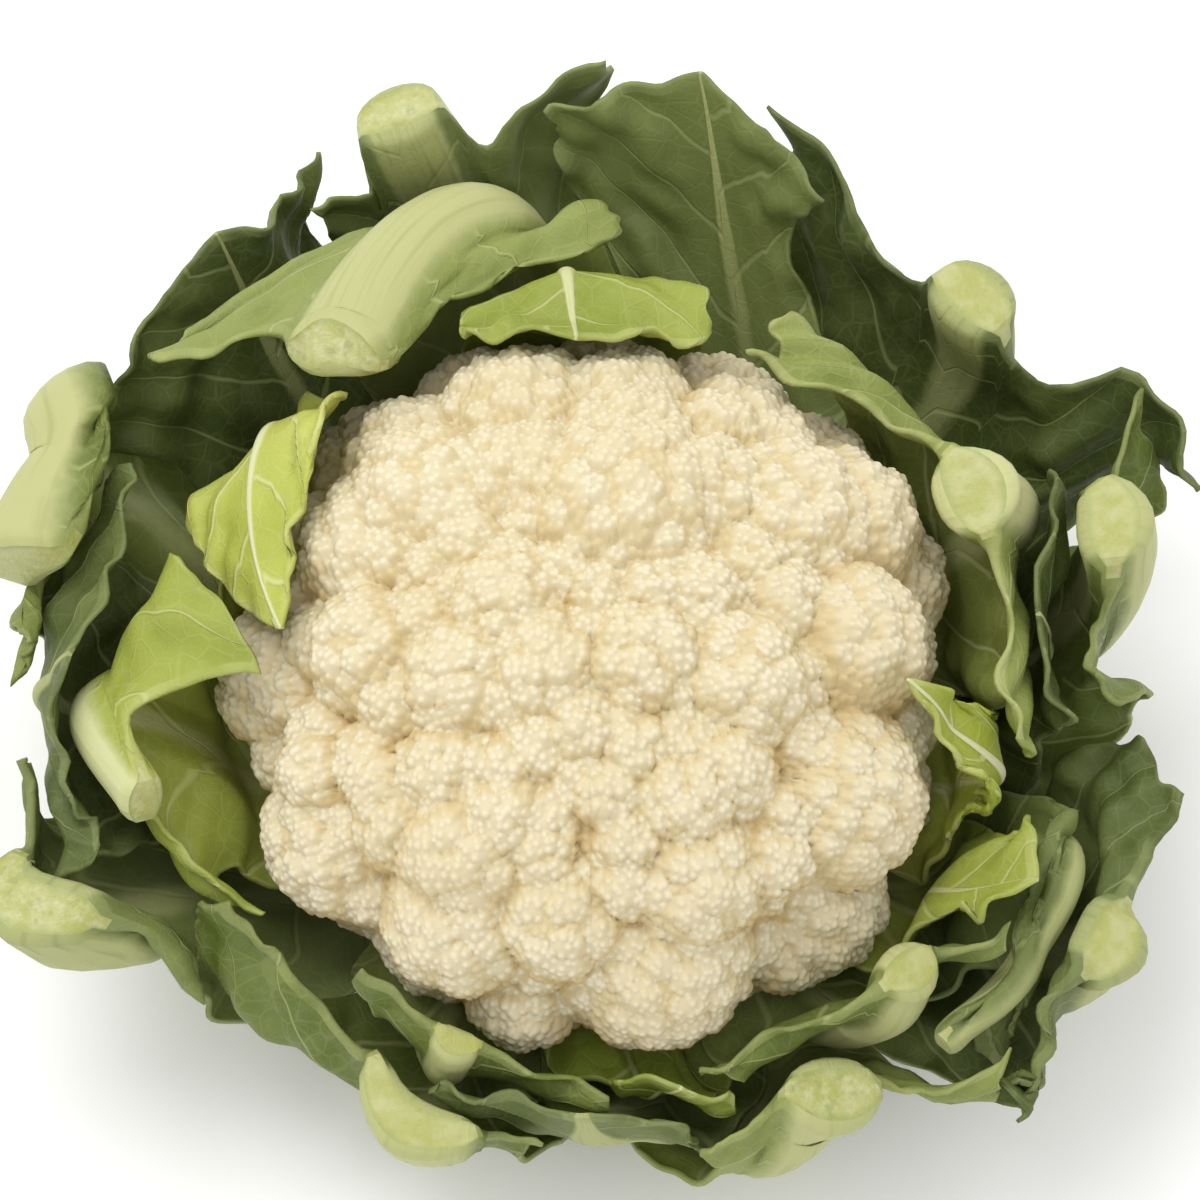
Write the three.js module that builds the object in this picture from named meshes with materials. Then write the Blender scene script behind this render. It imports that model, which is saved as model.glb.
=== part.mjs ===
// A whole cauliflower as it is sold: the white curd on its cut stalk, with the trimmed leaves round it.
//
// Millimetres, +Z up. The origin is the middle of the stalk's cut face, which the head rests on.
// A place is given as [bearing, radius, height]: the bearing in degrees counter-clockwise from +X
// seen from above, the radius out from the stalk's axis. The front of the head is at bearing -90.

import * as THREE from 'three';
import { mergeVertices } from 'three/addons/utils/BufferGeometryUtils.js';

// Driving dimensions of the curd and the stalk
const CURD_MIDDLE = new THREE.Vector3(-2, 0, 62);
const CURD_RADIUS = 75;
const CURD_RISE = 53;
const CURD_DROP = 35;
const CURD_SPLITS = 16;
const CURD_CLEARANCE = 1.8;
const CREASE_DEPTH = 5;
const STALK_RADIUS = 26;
const STALK_HEIGHT = 42;
const STALK_CUT_RADIUS = 24.5;
const GAP = 0.4;

// Driving dimensions of the leaves. ROOT_BLADE and BELLY_SPAN are how far the blade reaches past the
// rib on each side, in degrees, at the root and at the belly.
const BLADE = 1.3;
const LEAF_ROOT_RADIUS = STALK_RADIUS + GAP;
const ROOT_BLADE = 1.5;
const BELLY_SPAN = 19;
const LEAF_CLEARANCE = 2;
const LOWEST_LEAF = 3;
const RIB_SWELL = 0.42;

// The three tiers that the leaves grow in: the height of their roots on the stalk, and the places
// of their belly and shoulder, as [radius, height], whose radius grows towards the back by lean.
// The rib's width and depth are given at its root, half way and at its end.
const TIERS = {
  inner: {
    root: 35, belly: [64, 40], shoulder: [86, 62], lean: 2,
    ribWidth: [14, 19, 16], ribDepth: [6, 6, 9],
  },
  middle: {
    root: 25, belly: [71, 31], shoulder: [97, 57], lean: 8,
    ribWidth: [15, 20, 17], ribDepth: [6, 7, 11],
  },
  outer: {
    root: 14.5, belly: [77, 21], shoulder: [106, 53], lean: 11,
    ribWidth: [15, 23, 22], ribDepth: [6, 8, 16],
  },
};

// Florets of the curd: where each one's middle shows on the dome, as [across, up the dome, radius],
// in millimetres from the top of the dome seen from above and in front
const FLORETS = [
  [-38, 44, 15], [-20, 50, 10], [-29, 34, 8], [-45, 31, 8], [-20, 20, 11], [-52, 10, 11], [-38, 16, 6],
  [-31, 3, 11], [-11, 5, 11], [9, 46, 20], [2, 22, 6], [14, 22, 7], [25, 22, 8], [4, 64, 10], [28, 57, 9],
  [41, 54, 8], [59, 38, 15], [37, 29, 8], [44, 20, 9], [60, 11, 14], [12, 7, 12], [36, 2, 13], [31, 11, 6],
  [-61, -18, 8], [-61, -36, 15], [-47, -21, 7], [-33, -18, 8], [-19, -16, 5], [-44, -30, 8], [-29, -37, 13],
  [-20, -28, 9], [-11, -36, 7], [-31, -54, 15], [-7, -52, 12], [-16, -72, 10], [16, -65, 19], [24, -44, 13],
  [8, -33, 7], [7, -43, 7], [21, -25, 10], [4, -23, 7], [10, -13, 7], [-2, -8, 7], [31, -17, 9],
  [59, -26, 17], [43, -27, 6], [41, -37, 8], [54, -52, 14], [46, -60, 8],
];
const VIEW_TILT = 25;

// How deep a floret's middle sits under the dome, as a share of its radius: on the whole, and on the
// curd's shoulders, which come in over stretches of the direction's rise and of the distance aside
const FLORET_SINK = 0.45;
const SHOULDER_SINK = 0.1;
const SHOULDER_RISE = [0.1, 0.5];
const SHOULDER_ASIDE = [0.6, 0.9];

// Rows of florets round the rim and over the back, as [tilt, first bearing, last bearing, count,
// radius], and how unevenly they stand: by degrees of tilt, and by a share of their radius, each
// a wave that moves on by ROW_BEAT, in radians, from a floret to the next
const FLORET_ROWS = [
  [-13, 0, 340, 18, 14], [6, 20, 180, 8, 15], [27, 30, 158, 6, 15], [47, 48, 140, 4, 13],
];
const ROW_UNEVEN = 4;
const ROW_SIZES = 0.18;
const ROW_BEAT = { tilt: 2.3, size: 4.1 };

// Small florets that fill in between the large ones, spread evenly by turning from each to the next
const FILL = { count: 150, radius: 8, sink: 0.8, turn: 137.5, lowest: -0.25 };

// The leaves from the curd outwards. End is where the rib is cut, or its tip; ccw and cw are the
// upper corners of the blade on the counter-clockwise and the clockwise side of the rib, and ccwHigh
// and cwHigh are the places on its edges level with the shoulder, where the rule doesn't give them
const LEAVES = [
  { name: 'leaf_heart_right', tier: 'inner', root: -8, shoulder: [-16, 90, 72], end: [-15, 62, 99],
    ccw: [-7, 76, 92], cw: [-24, 86, 85], ribWidth: [8, 6, 3], ribDepth: [4, 2, 1], rows: 9, wing: 3,
    wave: 0.6, notch: 0, round: 0.3, lobe: 0.06, tint: 'heart' },
  { name: 'leaf_heart_left', tier: 'inner', root: 165, shoulder: [146, 86, 92], end: [181, 69, 100],
    ccw: [172, 90, 80], ccwHigh: [158, 95, 76], cw: [172, 59, 106], cwHigh: [138, 74, 105],
    ribWidth: [9, 8, 4], ribDepth: [4, 3, 2], rows: 9, wing: 3, wave: 0.4, notch: 0, round: 0.2,
    lobe: 0.06, tint: 'heart' },
  { name: 'leaf_heart_back', tier: 'inner', root: 94, shoulder: [95, 85, 95], end: [95, 57, 108],
    ccw: [121, 61, 103], ccwHigh: [112, 80, 94], cw: [68, 61, 105], cwHigh: [72, 82, 95],
    ribWidth: [12, 8, 4], ribDepth: [5, 3, 1.5], rows: 9, wing: 4, wave: 1.6, notch: 0, round: 0.08,
    lobe: 0.1, tint: 'bright' },
  { name: 'leaf_inner_right', tier: 'inner', root: 28, shoulder: [22, 91, 70], end: [21, 86, 96],
    ccw: [68, 58, 106], ccwHigh: [60, 84, 98], cw: [-20, 90, 82], ribWidth: [14, 19, 21],
    ribDepth: [6, 9, 18], rows: 9, wing: 4, notch: 0.06, tint: 'light' },
  { name: 'leaf_bud_right', tier: 'inner', root: -33, shoulder: [-34, 90, 66], end: [-30, 106, 79],
    ccw: [-20, 99, 82], cw: [-38, 98, 76], ribWidth: [9, 5, 3], ribDepth: [4, 2, 1], rows: 7, wing: 3,
    wave: 0.8, notch: 0, round: 0.15, lobe: 0.05, tint: 'bright' },
  { name: 'leaf_inner_front_right', tier: 'inner', root: -62, shoulder: [-50, 90, 54], end: [-47, 96, 71],
    ccw: [-35, 94, 79], cw: [-80, 90, 60], ribWidth: [13, 17, 15], ribDepth: [6, 8, 12], rows: 9, wing: 4,
    notch: 0.05, tint: 'mid' },
  { name: 'leaf_bud_front', tier: 'inner', root: -92, shoulder: [-84, 88, 44], end: [-80, 91, 60],
    ccw: [-70, 91, 60], cw: [-90, 89, 58], ribWidth: [9, 5, 3], ribDepth: [4, 2, 1], rows: 7, wing: 3,
    wave: 1, notch: 0, round: 0.1, tint: 'bright' },
  { name: 'leaf_inner_front', tier: 'inner', root: -122, shoulder: [-112, 88, 50], end: [-110, 89, 66],
    ccw: [-84, 91, 56], cw: [-128, 85, 74], ribWidth: [13, 12, 10], ribDepth: [6, 6, 7], rows: 8, wing: 4,
    notch: 0.05, tint: 'mid' },
  { name: 'leaf_inner_left', tier: 'inner', root: -162, shoulder: [-175, 106, 70], end: [-161, 104, 81],
    ccw: [-140, 86, 60], ccwHigh: [-150, 94, 54], cw: [-174, 70, 98], cwHigh: [-195, 90, 92],
    ribWidth: [14, 17, 14], ribDepth: [6, 8, 9], rows: 9, wing: 4, wave: 1, tint: 'bright' },
  { name: 'leaf_middle_back_left', tier: 'middle', root: 95, shoulder: [104, 104, 86], end: [134, 82, 106],
    ccw: [149, 120, 93], cw: [84, 98, 90], ribWidth: [15, 23, 24], ribDepth: [6, 9, 14],
    roll: [0, -20, -50], rows: 10, wing: 4, notch: 0.04, tint: 'mid' },
  { name: 'leaf_middle_back', tier: 'middle', root: 52, shoulder: [74, 110, 62], end: [80, 132, 104],
    ccw: [99, 126, 101], cw: [64, 116, 92], ribWidth: [15, 14, 5], ribDepth: [6, 6, 2], rows: 10,
    wing: 4, notch: 0, round: 0.05, lobe: 0.14, tint: 'dark' },
  { name: 'leaf_middle_right', tier: 'middle', root: -28, shoulder: [-22, 106, 62], end: [-47, 110, 58],
    ccw: [-14, 100, 68], cw: [-42, 122, 42], ribWidth: [15, 13, 10], ribDepth: [6, 7, 6], rows: 9, wing: 4,
    notch: 0.04, tint: 'dark' },
  { name: 'leaf_middle_right_high', tier: 'middle', root: 12, end: [4, 94, 84],
    ccw: [26, 100, 90], cw: [-12, 93, 82], ribWidth: [14, 10, 5], ribDepth: [6, 4, 2], rows: 8, wing: 3,
    notch: 0, round: 0.1, lobe: 0.06, tint: 'dark' },
  { name: 'leaf_middle_front', tier: 'middle', root: -72, shoulder: [-90, 88, 46], end: [-92, 88, 60],
    ccw: [-74, 90, 56], cw: [-114, 89, 62], ribDepth: [6, 4, 2], rows: 7, wing: 3, notch: 0, round: 0.1,
    tint: 'dark' },
  { name: 'leaf_middle_left', tier: 'middle', root: -176, shoulder: [-178, 120, 62], end: [-178, 113, 86],
    ccw: [-152, 112, 66], cw: [-206, 104, 92], ribWidth: [15, 11, 6], ribDepth: [6, 5, 3], rows: 9, wing: 4,
    notch: 0, round: 0.1, tint: 'dark' },
  { name: 'leaf_outer_front_left', tier: 'outer', root: -112, shoulder: [-112, 98, 38], end: [-112, 92, 58],
    ccw: [-96, 92, 52], cw: [-152, 88, 74], cwHigh: [-146, 106, 46], ribWidth: [15, 25, 26],
    ribDepth: [6, 7, 12], rows: 9, wing: 4, tint: 'mid' },
  { name: 'leaf_outer_front_right', tier: 'outer', root: -72, shoulder: [-66, 98, 40], end: [-62, 98, 58],
    ccw: [-42, 106, 60], cw: [-80, 92, 54], rows: 8, wing: 3, tint: 'mid' },
  { name: 'leaf_outer_right_low', tier: 'outer', root: -32, end: [-29, 123, 64],
    ccw: [-11, 128, 72], ccwHigh: [-4, 112, 58], cw: [-48, 116, 50], rows: 9, wing: 4, notch: 0,
    lobe: 0.08, tint: 'dark' },
  { name: 'leaf_outer_right', tier: 'outer', root: 8, end: [13, 112, 92],
    ccw: [29, 140, 82], ccwHigh: [20, 132, 60], cw: [-8, 97, 82], rows: 9, wing: 4, tint: 'mid' },
  { name: 'leaf_outer_back_right', tier: 'outer', root: 48, end: [44, 114, 94],
    ccw: [78, 121, 86], cw: [15, 118, 76], rows: 9, wing: 4, tint: 'dark' },
  { name: 'leaf_outer_back', tier: 'outer', root: 88, end: [110, 131, 99],
    ccw: [122, 124, 80], cw: [86, 126, 104], rows: 9, wing: 4, tint: 'dark' },
  { name: 'leaf_outer_back_left', tier: 'outer', root: 128, end: [131, 130, 88],
    ccw: [158, 130, 82], cw: [114, 120, 84], ribWidth: [15, 14, 5], ribDepth: [6, 5, 2], rows: 9, wing: 4,
    notch: 0, round: 0.15, lobe: 0.12, tint: 'dark' },
  { name: 'leaf_outer_left', tier: 'outer', root: 166, shoulder: [154, 116, 76], end: [171, 120, 84],
    ccw: [184, 120, 72], cw: [148, 117, 82], ribWidth: [15, 24, 26], roll: [0, -10, -40], rows: 9,
    wing: 4, tint: 'mid' },
  { name: 'leaf_outer_left_low', tier: 'outer', root: -152, end: [-156, 122, 70],
    ccw: [-138, 108, 54], cw: [-172, 121, 74], rows: 8, wing: 3, tint: 'dark' },
];
const LEAF_DEFAULTS = {
  roll: [0, 0, 0], wave: 2.2, waves: 1.6, notch: 0.16, round: 0, lobe: 0.16, lobes: 2.5,
};

// How a leaf's run is filled in between its places: the share of the turn from the root that is made
// by the belly and by the shoulder, and how far the blade's edge has gone, level with the shoulder,
// from the rib to its corner, in bearing, radius and height
const BELLY_TURN = 0.45;
const SHOULDER_TURN = 0.8;
const EDGE_BY_SHOULDER = [0.8, 0.35, 0.3];

// The stretches of a leaf, from 0 at the root to 1 at the end, over which each feature comes in
const DRAPE_RUN = [0, 0.15];
const NOTCH_RUN = [0.3, 1];
const LOBE_RUN = [0.2, 0.5];
const WAVE_RUN = [0.2, 0.7];
const SWELL_RUN = [0.6, 1];

// Colours of the head's finishes
const FINISHES = {
  curd: { color: '#efe3c2', roughness: 0.75 },
  stalk: { color: '#d6d9a4', roughness: 0.6 },
  heart: { color: '#c4cc5c', roughness: 0.5 },
  bright: { color: '#9bb13c', roughness: 0.5 },
  light: { color: '#b8c77a', roughness: 0.5 },
  mid: { color: '#7f9a45', roughness: 0.55 },
  dark: { color: '#4d6134', roughness: 0.6 },
};

const TURN = 2 * Math.PI;
const radians = THREE.MathUtils.degToRad;
const lerp = THREE.MathUtils.lerp;
const smoothstep = THREE.MathUtils.smoothstep;

function place([bearing, radius, height]) {
  const turn = radians(bearing);
  return new THREE.Vector3(radius * Math.cos(turn), radius * Math.sin(turn), height);
}

function bearingOf(point) {
  return THREE.MathUtils.radToDeg(Math.atan2(point.y, point.x));
}

function mix(a, b, share) {
  return a.map((value, k) => lerp(value, b[k], share));
}

// A smooth run through places, where u goes from 0 to 1
function through(places, u) {
  const points = places.map((p) => new THREE.Vector3(...p));
  return new THREE.CatmullRomCurve3(points, false, 'catmullrom', 0.5).getPoint(u).toArray();
}

// A value that runs through three stations, at u of 0, 0.5 and 1
function overThree(values, u) {
  return u < 0.5 ? lerp(values[0], values[1], 2 * u) : lerp(values[1], values[2], 2 * u - 1);
}

// The radius of the curd's plain dome in a direction
function domeRadius(direction) {
  const rise = direction.z > 0 ? CURD_RISE : CURD_DROP;
  const flat = Math.hypot(direction.x, direction.y) / CURD_RADIUS;
  return 1 / Math.hypot(flat, direction.z / rise);
}

// How far above the plane of its middle the dome stands towards a tilted viewer, for one rise
function domeDepth(across, up, rise) {
  const cos = Math.cos(radians(VIEW_TILT));
  const sin = Math.sin(radians(VIEW_TILT));
  const square = (sin / CURD_RADIUS) ** 2 + (cos / rise) ** 2;
  const line = up * sin * cos * (1 / rise ** 2 - 1 / CURD_RADIUS ** 2);
  const rest = (across ** 2 + (up * cos) ** 2) / CURD_RADIUS ** 2 + (up * sin / rise) ** 2 - 1;
  return (Math.sqrt(Math.max(0, line * line - square * rest)) - line) / square;
}

// The middle of a floret, from where it shows to a viewer who looks down on the head
function floretBall([across, up, radius]) {
  const tilt = radians(VIEW_TILT);
  const upward = new THREE.Vector3(0, Math.cos(tilt), Math.sin(tilt));
  const viewer = new THREE.Vector3(0, -Math.sin(tilt), Math.cos(tilt));
  const middle = new THREE.Vector3(across, 0, 0).addScaledVector(upward, up);
  const high = domeDepth(across, up, CURD_RISE);
  const above = middle.z + viewer.z * high > 0;
  middle.addScaledVector(viewer, above ? high : domeDepth(across, up, CURD_DROP));
  const direction = middle.clone().normalize();
  const aside = Math.hypot(across, up) / CURD_RADIUS;
  const raised = smoothstep(direction.z, ...SHOULDER_RISE) * smoothstep(aside, ...SHOULDER_ASIDE);
  middle.addScaledVector(direction, -radius * lerp(FLORET_SINK, SHOULDER_SINK, raised));
  return { middle, radius };
}

function rowBalls([tilt, first, last, count, radius]) {
  return Array.from({ length: count }, (unused, k) => {
    const bearing = lerp(first, last, k / (count - 1));
    const rise = radians(tilt + ROW_UNEVEN * Math.sin(ROW_BEAT.tilt * k + tilt));
    const direction = place([bearing, Math.cos(rise), Math.sin(rise)]);
    const size = radius * (1 + ROW_SIZES * Math.sin(ROW_BEAT.size * k + tilt));
    const middle = direction.multiplyScalar(domeRadius(direction) - size * FLORET_SINK);
    return { middle, radius: size };
  });
}

function fillBall(k) {
  const height = lerp(1, FILL.lowest, (k + 0.5) / FILL.count);
  const direction = place([k * FILL.turn, Math.sqrt(1 - height * height), height]);
  const middle = direction.multiplyScalar(domeRadius(direction) - FILL.radius * FILL.sink);
  return { middle, radius: FILL.radius };
}

const BALLS = [
  ...FLORETS.map(floretBall),
  ...FLORET_ROWS.flatMap(rowBalls),
  ...Array.from({ length: FILL.count }, (unused, k) => fillBall(k)),
];

function reachOfBall(direction, ball) {
  const along = direction.dot(ball.middle);
  const aside = ball.middle.lengthSq() - along * along;
  const inside = ball.radius * ball.radius - aside;
  return inside > 0 ? along + Math.sqrt(inside) : 0;
}

// The curd's radius in a direction is that of the floret that reaches furthest in it
function curdRadius(direction) {
  const base = domeRadius(direction) - CREASE_DEPTH;
  return BALLS.reduce((reach, ball) => Math.max(reach, reachOfBall(direction, ball)), base);
}

function curdGeometry() {
  const geometry = new THREE.IcosahedronGeometry(1, CURD_SPLITS);
  geometry.deleteAttribute('normal');
  geometry.deleteAttribute('uv');
  const merged = mergeVertices(geometry, 1e-5);
  const points = merged.attributes.position;
  const point = new THREE.Vector3();
  for (let i = 0; i < points.count; i += 1) {
    point.fromBufferAttribute(points, i).normalize();
    point.multiplyScalar(curdRadius(point)).add(CURD_MIDDLE);
    point.z = Math.max(point.z, STALK_HEIGHT + GAP);
    points.setXYZ(i, point.x, point.y, point.z);
  }
  return merged;
}

// The stalk: a lathe-turned stump with a worn lower rim and a flat cut face to stand on
function stalkGeometry() {
  const profile = [
    [0, 0], [STALK_CUT_RADIUS, 0], [STALK_RADIUS, 2], [STALK_RADIUS, STALK_HEIGHT - 3],
    [STALK_RADIUS - 2, STALK_HEIGHT], [0, STALK_HEIGHT],
  ];
  const geometry = new THREE.LatheGeometry(profile.map(([r, z]) => new THREE.Vector2(r, z)), 40);
  return geometry.rotateX(Math.PI / 2);
}

// What lies inside a leaf is kept as a map of its reach from NEST_MIDDLE, by bearing and tilt in
// degrees, so that the leaf drapes over it. Each point of a leaf settles on it in a few passes.
const NEST_MIDDLE = new THREE.Vector3(0, 0, 60);
const MAP_STEP = 2;
const MAP_BEARINGS = 360 / MAP_STEP;
const LOWEST_TILT = -80;
const MAP_TILTS = -2 * LOWEST_TILT / MAP_STEP;
const SETTLE_PASSES = 4;
const SPLAT_STEPS = 6;

function mapPlace(point) {
  const arm = point.clone().sub(NEST_MIDDLE);
  const reach = arm.length();
  const tilt = THREE.MathUtils.radToDeg(Math.asin(arm.z / reach));
  const column = ((bearingOf(arm) + 360) % 360) / MAP_STEP;
  const row = THREE.MathUtils.clamp((tilt - LOWEST_TILT) / MAP_STEP, 0, MAP_TILTS - 1.001);
  return { column, row, reach, arm };
}

function newMap() {
  return new Float64Array(MAP_BEARINGS * MAP_TILTS);
}

function raise(map, point, margin = 0) {
  const { column, row, reach } = mapPlace(point);
  const index = Math.round(row) * MAP_BEARINGS + (Math.round(column) % MAP_BEARINGS);
  map[index] = Math.max(map[index], reach + margin);
}

// Each cell becomes what pick makes of the cells within size of it
function around(map, size, pick) {
  const result = newMap();
  for (let row = 0; row < MAP_TILTS; row += 1) {
    for (let column = 0; column < MAP_BEARINGS; column += 1) {
      const found = [];
      for (let dr = -size; dr <= size; dr += 1) {
        const nearRow = THREE.MathUtils.clamp(row + dr, 0, MAP_TILTS - 1);
        for (let dc = -size; dc <= size; dc += 1) {
          found.push(map[nearRow * MAP_BEARINGS + (column + dc + MAP_BEARINGS) % MAP_BEARINGS]);
        }
      }
      result[row * MAP_BEARINGS + column] = pick(found);
    }
  }
  return result;
}

function spread(map) {
  return around(around(map, 2, (found) => Math.max(...found)), 1, (found) => {
    return found.reduce((sum, value) => sum + value, 0) / found.length;
  });
}

function mapValue(map, { column, row }) {
  const c = Math.floor(column);
  const r = Math.floor(row);
  const at = (dr, dc) => map[(r + dr) * MAP_BEARINGS + (c + dc) % MAP_BEARINGS];
  const low = lerp(at(0, 0), at(0, 1), column - c);
  const high = lerp(at(1, 0), at(1, 1), column - c);
  return lerp(low, high, row - r);
}

// The places that a leaf's rib runs through
function ribPlaces(leaf) {
  const tier = TIERS[leaf.tier];
  const lean = tier.lean * Math.sin(radians(leaf.end[0]));
  const towards = leaf.shoulder ? leaf.shoulder[0] : leaf.end[0];
  const root = [leaf.root, LEAF_ROOT_RADIUS, tier.root];
  const belly = [lerp(leaf.root, towards, BELLY_TURN), tier.belly[0] + lean / 2, tier.belly[1]];
  const turned = lerp(leaf.root, leaf.end[0], SHOULDER_TURN);
  const shoulder = leaf.shoulder || [turned, tier.shoulder[0] + lean, tier.shoulder[1]];
  return [root, belly, shoulder, leaf.end];
}

// The places that the edge of a leaf's blade runs through, on one side of the rib
function edgePlaces(leaf, [root, belly, shoulder], side, high, top) {
  const halfRoot = THREE.MathUtils.radToDeg(leaf.ribWidth[0] / 2 / LEAF_ROOT_RADIUS);
  const rootEdge = [root[0] + side * (halfRoot + ROOT_BLADE), root[1], root[2]];
  const low = [belly[0] + side * BELLY_SPAN, belly[1] - 1, belly[2] + 1];
  const usual = shoulder.map((value, k) => lerp(value, top[k], EDGE_BY_SHOULDER[k]));
  return [rootEdge, low, high || usual, top];
}

function leafRuns(leaf) {
  const rib = ribPlaces(leaf);
  return {
    rib,
    ccw: edgePlaces(leaf, rib, 1, leaf.ccwHigh, leaf.ccw),
    cw: edgePlaces(leaf, rib, -1, leaf.cwHigh, leaf.cw),
  };
}

// Where each column of a leaf lies: on the rib as a share of its half width, on a wing as a share
// of the way from the rib to the edge
function leafColumns(wing) {
  const outs = Array.from({ length: wing }, (unused, k) => (k + 1) / wing);
  return [
    ...outs.map((out) => ({ side: -1, out })).reverse(),
    ...[-1, -0.6, 0, 0.6, 1].map((across) => ({ across })),
    ...outs.map((out) => ({ side: 1, out })),
  ];
}

// A point on the rib's middle line, and the direction across the rib there, towards the blade's
// counter-clockwise side, rolled about the rib
function ribFrame(leaf, runs, u) {
  const step = 0.02;
  const here = place(through(runs.rib, u));
  const before = place(through(runs.rib, Math.max(0, u - step)));
  const after = place(through(runs.rib, Math.min(1, u + step)));
  const along = after.sub(before).normalize();
  const outward = here.clone().sub(NEST_MIDDLE).normalize();
  const across = new THREE.Vector3().crossVectors(along, outward).normalize();
  across.applyAxisAngle(along, radians(overThree(leaf.roll, u)));
  return { here, across };
}

// A point half way through the leaf's thickness
function leafMiddle(leaf, runs, column, u) {
  return column.out === undefined
    ? ribPoint(leaf, runs, column.across, u)
    : bladePoint(leaf, runs, column, u);
}

function ribPoint(leaf, runs, across, u) {
  const frame = ribFrame(leaf, runs, u);
  return frame.here.addScaledVector(frame.across, across * overThree(leaf.ribWidth, u) / 2);
}

function bladePoint(leaf, runs, column, u) {
  const short = leaf.notch * (1 - column.out) + leaf.round * column.out ** 2;
  const along = u * (1 - short * smoothstep(u, ...NOTCH_RUN));
  const ribSide = ribPoint(leaf, runs, column.side, along);
  const start = [bearingOf(ribSide), Math.hypot(ribSide.x, ribSide.y), ribSide.z];
  const edge = through(column.side > 0 ? runs.ccw : runs.cw, along);
  start[0] += 360 * Math.round((edge[0] - start[0]) / 360);
  const lobes = 0.5 - 0.5 * Math.cos(TURN * leaf.lobes * along + column.side);
  const out = column.out * (1 - leaf.lobe * lobes * column.out * smoothstep(along, ...LOBE_RUN));
  const at = mix(start, edge, out);
  const wave = leaf.wave * out * out * smoothstep(along, ...WAVE_RUN);
  at[1] += wave * Math.sin(TURN * leaf.waves * along + 2 * column.side + leaf.end[0]);
  return place(at);
}

// Moves a point of a leaf out until it clears what lies inside, then along the table if it is too low
function settle(point, leaf, column, u, support) {
  const at = mapPlace(point);
  const least = mapValue(support, at) + LEAF_CLEARANCE + faceStep(leaf, column, u, ribSwell(u));
  const reach = Math.max(at.reach, lerp(at.reach, least, smoothstep(u, ...DRAPE_RUN)));
  point.copy(NEST_MIDDLE).addScaledVector(at.arm, reach / at.reach);
  const lowest = LOWEST_LEAF + faceStep(leaf, column, u, 1 - ribSwell(u));
  if (point.z >= lowest) {
    return;
  }
  const flat = Math.hypot(point.x, point.y);
  const wanted = Math.sqrt(Math.max(flat * flat, reach * reach - (NEST_MIDDLE.z - lowest) ** 2));
  point.set(point.x * wanted / flat, point.y * wanted / flat, lowest);
}

function snapToStalk(point) {
  const shrink = LEAF_ROOT_RADIUS / Math.hypot(point.x, point.y);
  point.set(point.x * shrink, point.y * shrink, point.z);
}

// The grid of a leaf's middle points, draped over what lies inside it
function leafGrid(leaf, columns, inside) {
  const runs = leafRuns(leaf);
  const support = spread(inside);
  return Array.from({ length: leaf.rows + 1 }, (unused, i) => columns.map((column) => {
    const u = i / leaf.rows;
    const point = leafMiddle(leaf, runs, column, u);
    for (let pass = 0; pass < SETTLE_PASSES; pass += 1) {
      settle(point, leaf, column, u, support);
    }
    if (i === 0) {
      snapToStalk(point);
    }
    return point;
  }));
}

function gridNormals(grid) {
  const rows = grid.length;
  const width = grid[0].length;
  return grid.map((line, i) => line.map((point, j) => {
    const up = grid[Math.min(i + 1, rows - 1)][j].clone().sub(grid[Math.max(i - 1, 0)][j]);
    const across = line[Math.min(j + 1, width - 1)].clone().sub(line[Math.max(j - 1, 0)]);
    return across.cross(up).normalize();
  }));
}

// At its root a leaf's thickness runs along the stalk's flank, not into it
function flattenAgainstStalk(normal, point) {
  const outward = new THREE.Vector3(point.x, point.y, 0).normalize();
  normal.addScaledVector(outward, -normal.dot(outward)).normalize();
}

// The share of a rib's depth that swells on its inside, towards its cut end
function ribSwell(u) {
  return RIB_SWELL * smoothstep(u, ...SWELL_RUN);
}

// How far a face stands off the middle of the blade: the rib is round on the outside and swells a
// little on the inside
function faceStep(leaf, column, u, share) {
  if (column.out !== undefined) {
    return BLADE / 2;
  }
  const round = Math.sqrt(1 - column.across * column.across);
  return BLADE / 2 + share * overThree(leaf.ribDepth, u) * round;
}

function leafGeometry(leaf, inside) {
  const columns = leafColumns(leaf.wing);
  const grid = leafGrid(leaf, columns, inside);
  const normals = gridNormals(grid);
  const middleColumn = (columns.length - 1) / 2;
  const outer = [];
  const inner = [];
  grid.forEach((line, i) => line.forEach((point, j) => {
    const onRib = columns[j].out === undefined;
    const normal = normals[i][onRib ? middleColumn : j].clone();
    if (i === 0) {
      flattenAgainstStalk(normal, point);
    }
    const u = i / leaf.rows;
    outer.push(point.clone().addScaledVector(normal, faceStep(leaf, columns[j], u, 1 - ribSwell(u))));
    inner.push(point.clone().addScaledVector(normal, -faceStep(leaf, columns[j], u, ribSwell(u))));
  }));
  raiseFaces(inside, outer, columns.length);
  return slab(outer, inner, columns.length);
}

// Marks the reach of a leaf's outer face on the map, finely enough that no cell is missed
function raiseFaces(map, outer, width) {
  for (let k = 0; k + width < outer.length; k += 1) {
    const lastInRow = (k + 1) % width === 0;
    if (!lastInRow) {
      raiseQuad(map, outer[k], outer[k + 1], outer[k + width], outer[k + width + 1]);
    }
  }
}

function raiseQuad(map, lowLeft, lowRight, highLeft, highRight) {
  for (let a = 0; a <= SPLAT_STEPS; a += 1) {
    const low = lowLeft.clone().lerp(lowRight, a / SPLAT_STEPS);
    const high = highLeft.clone().lerp(highRight, a / SPLAT_STEPS);
    for (let b = 0; b <= SPLAT_STEPS; b += 1) {
      raise(map, low.clone().lerp(high, b / SPLAT_STEPS));
    }
  }
}

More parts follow.
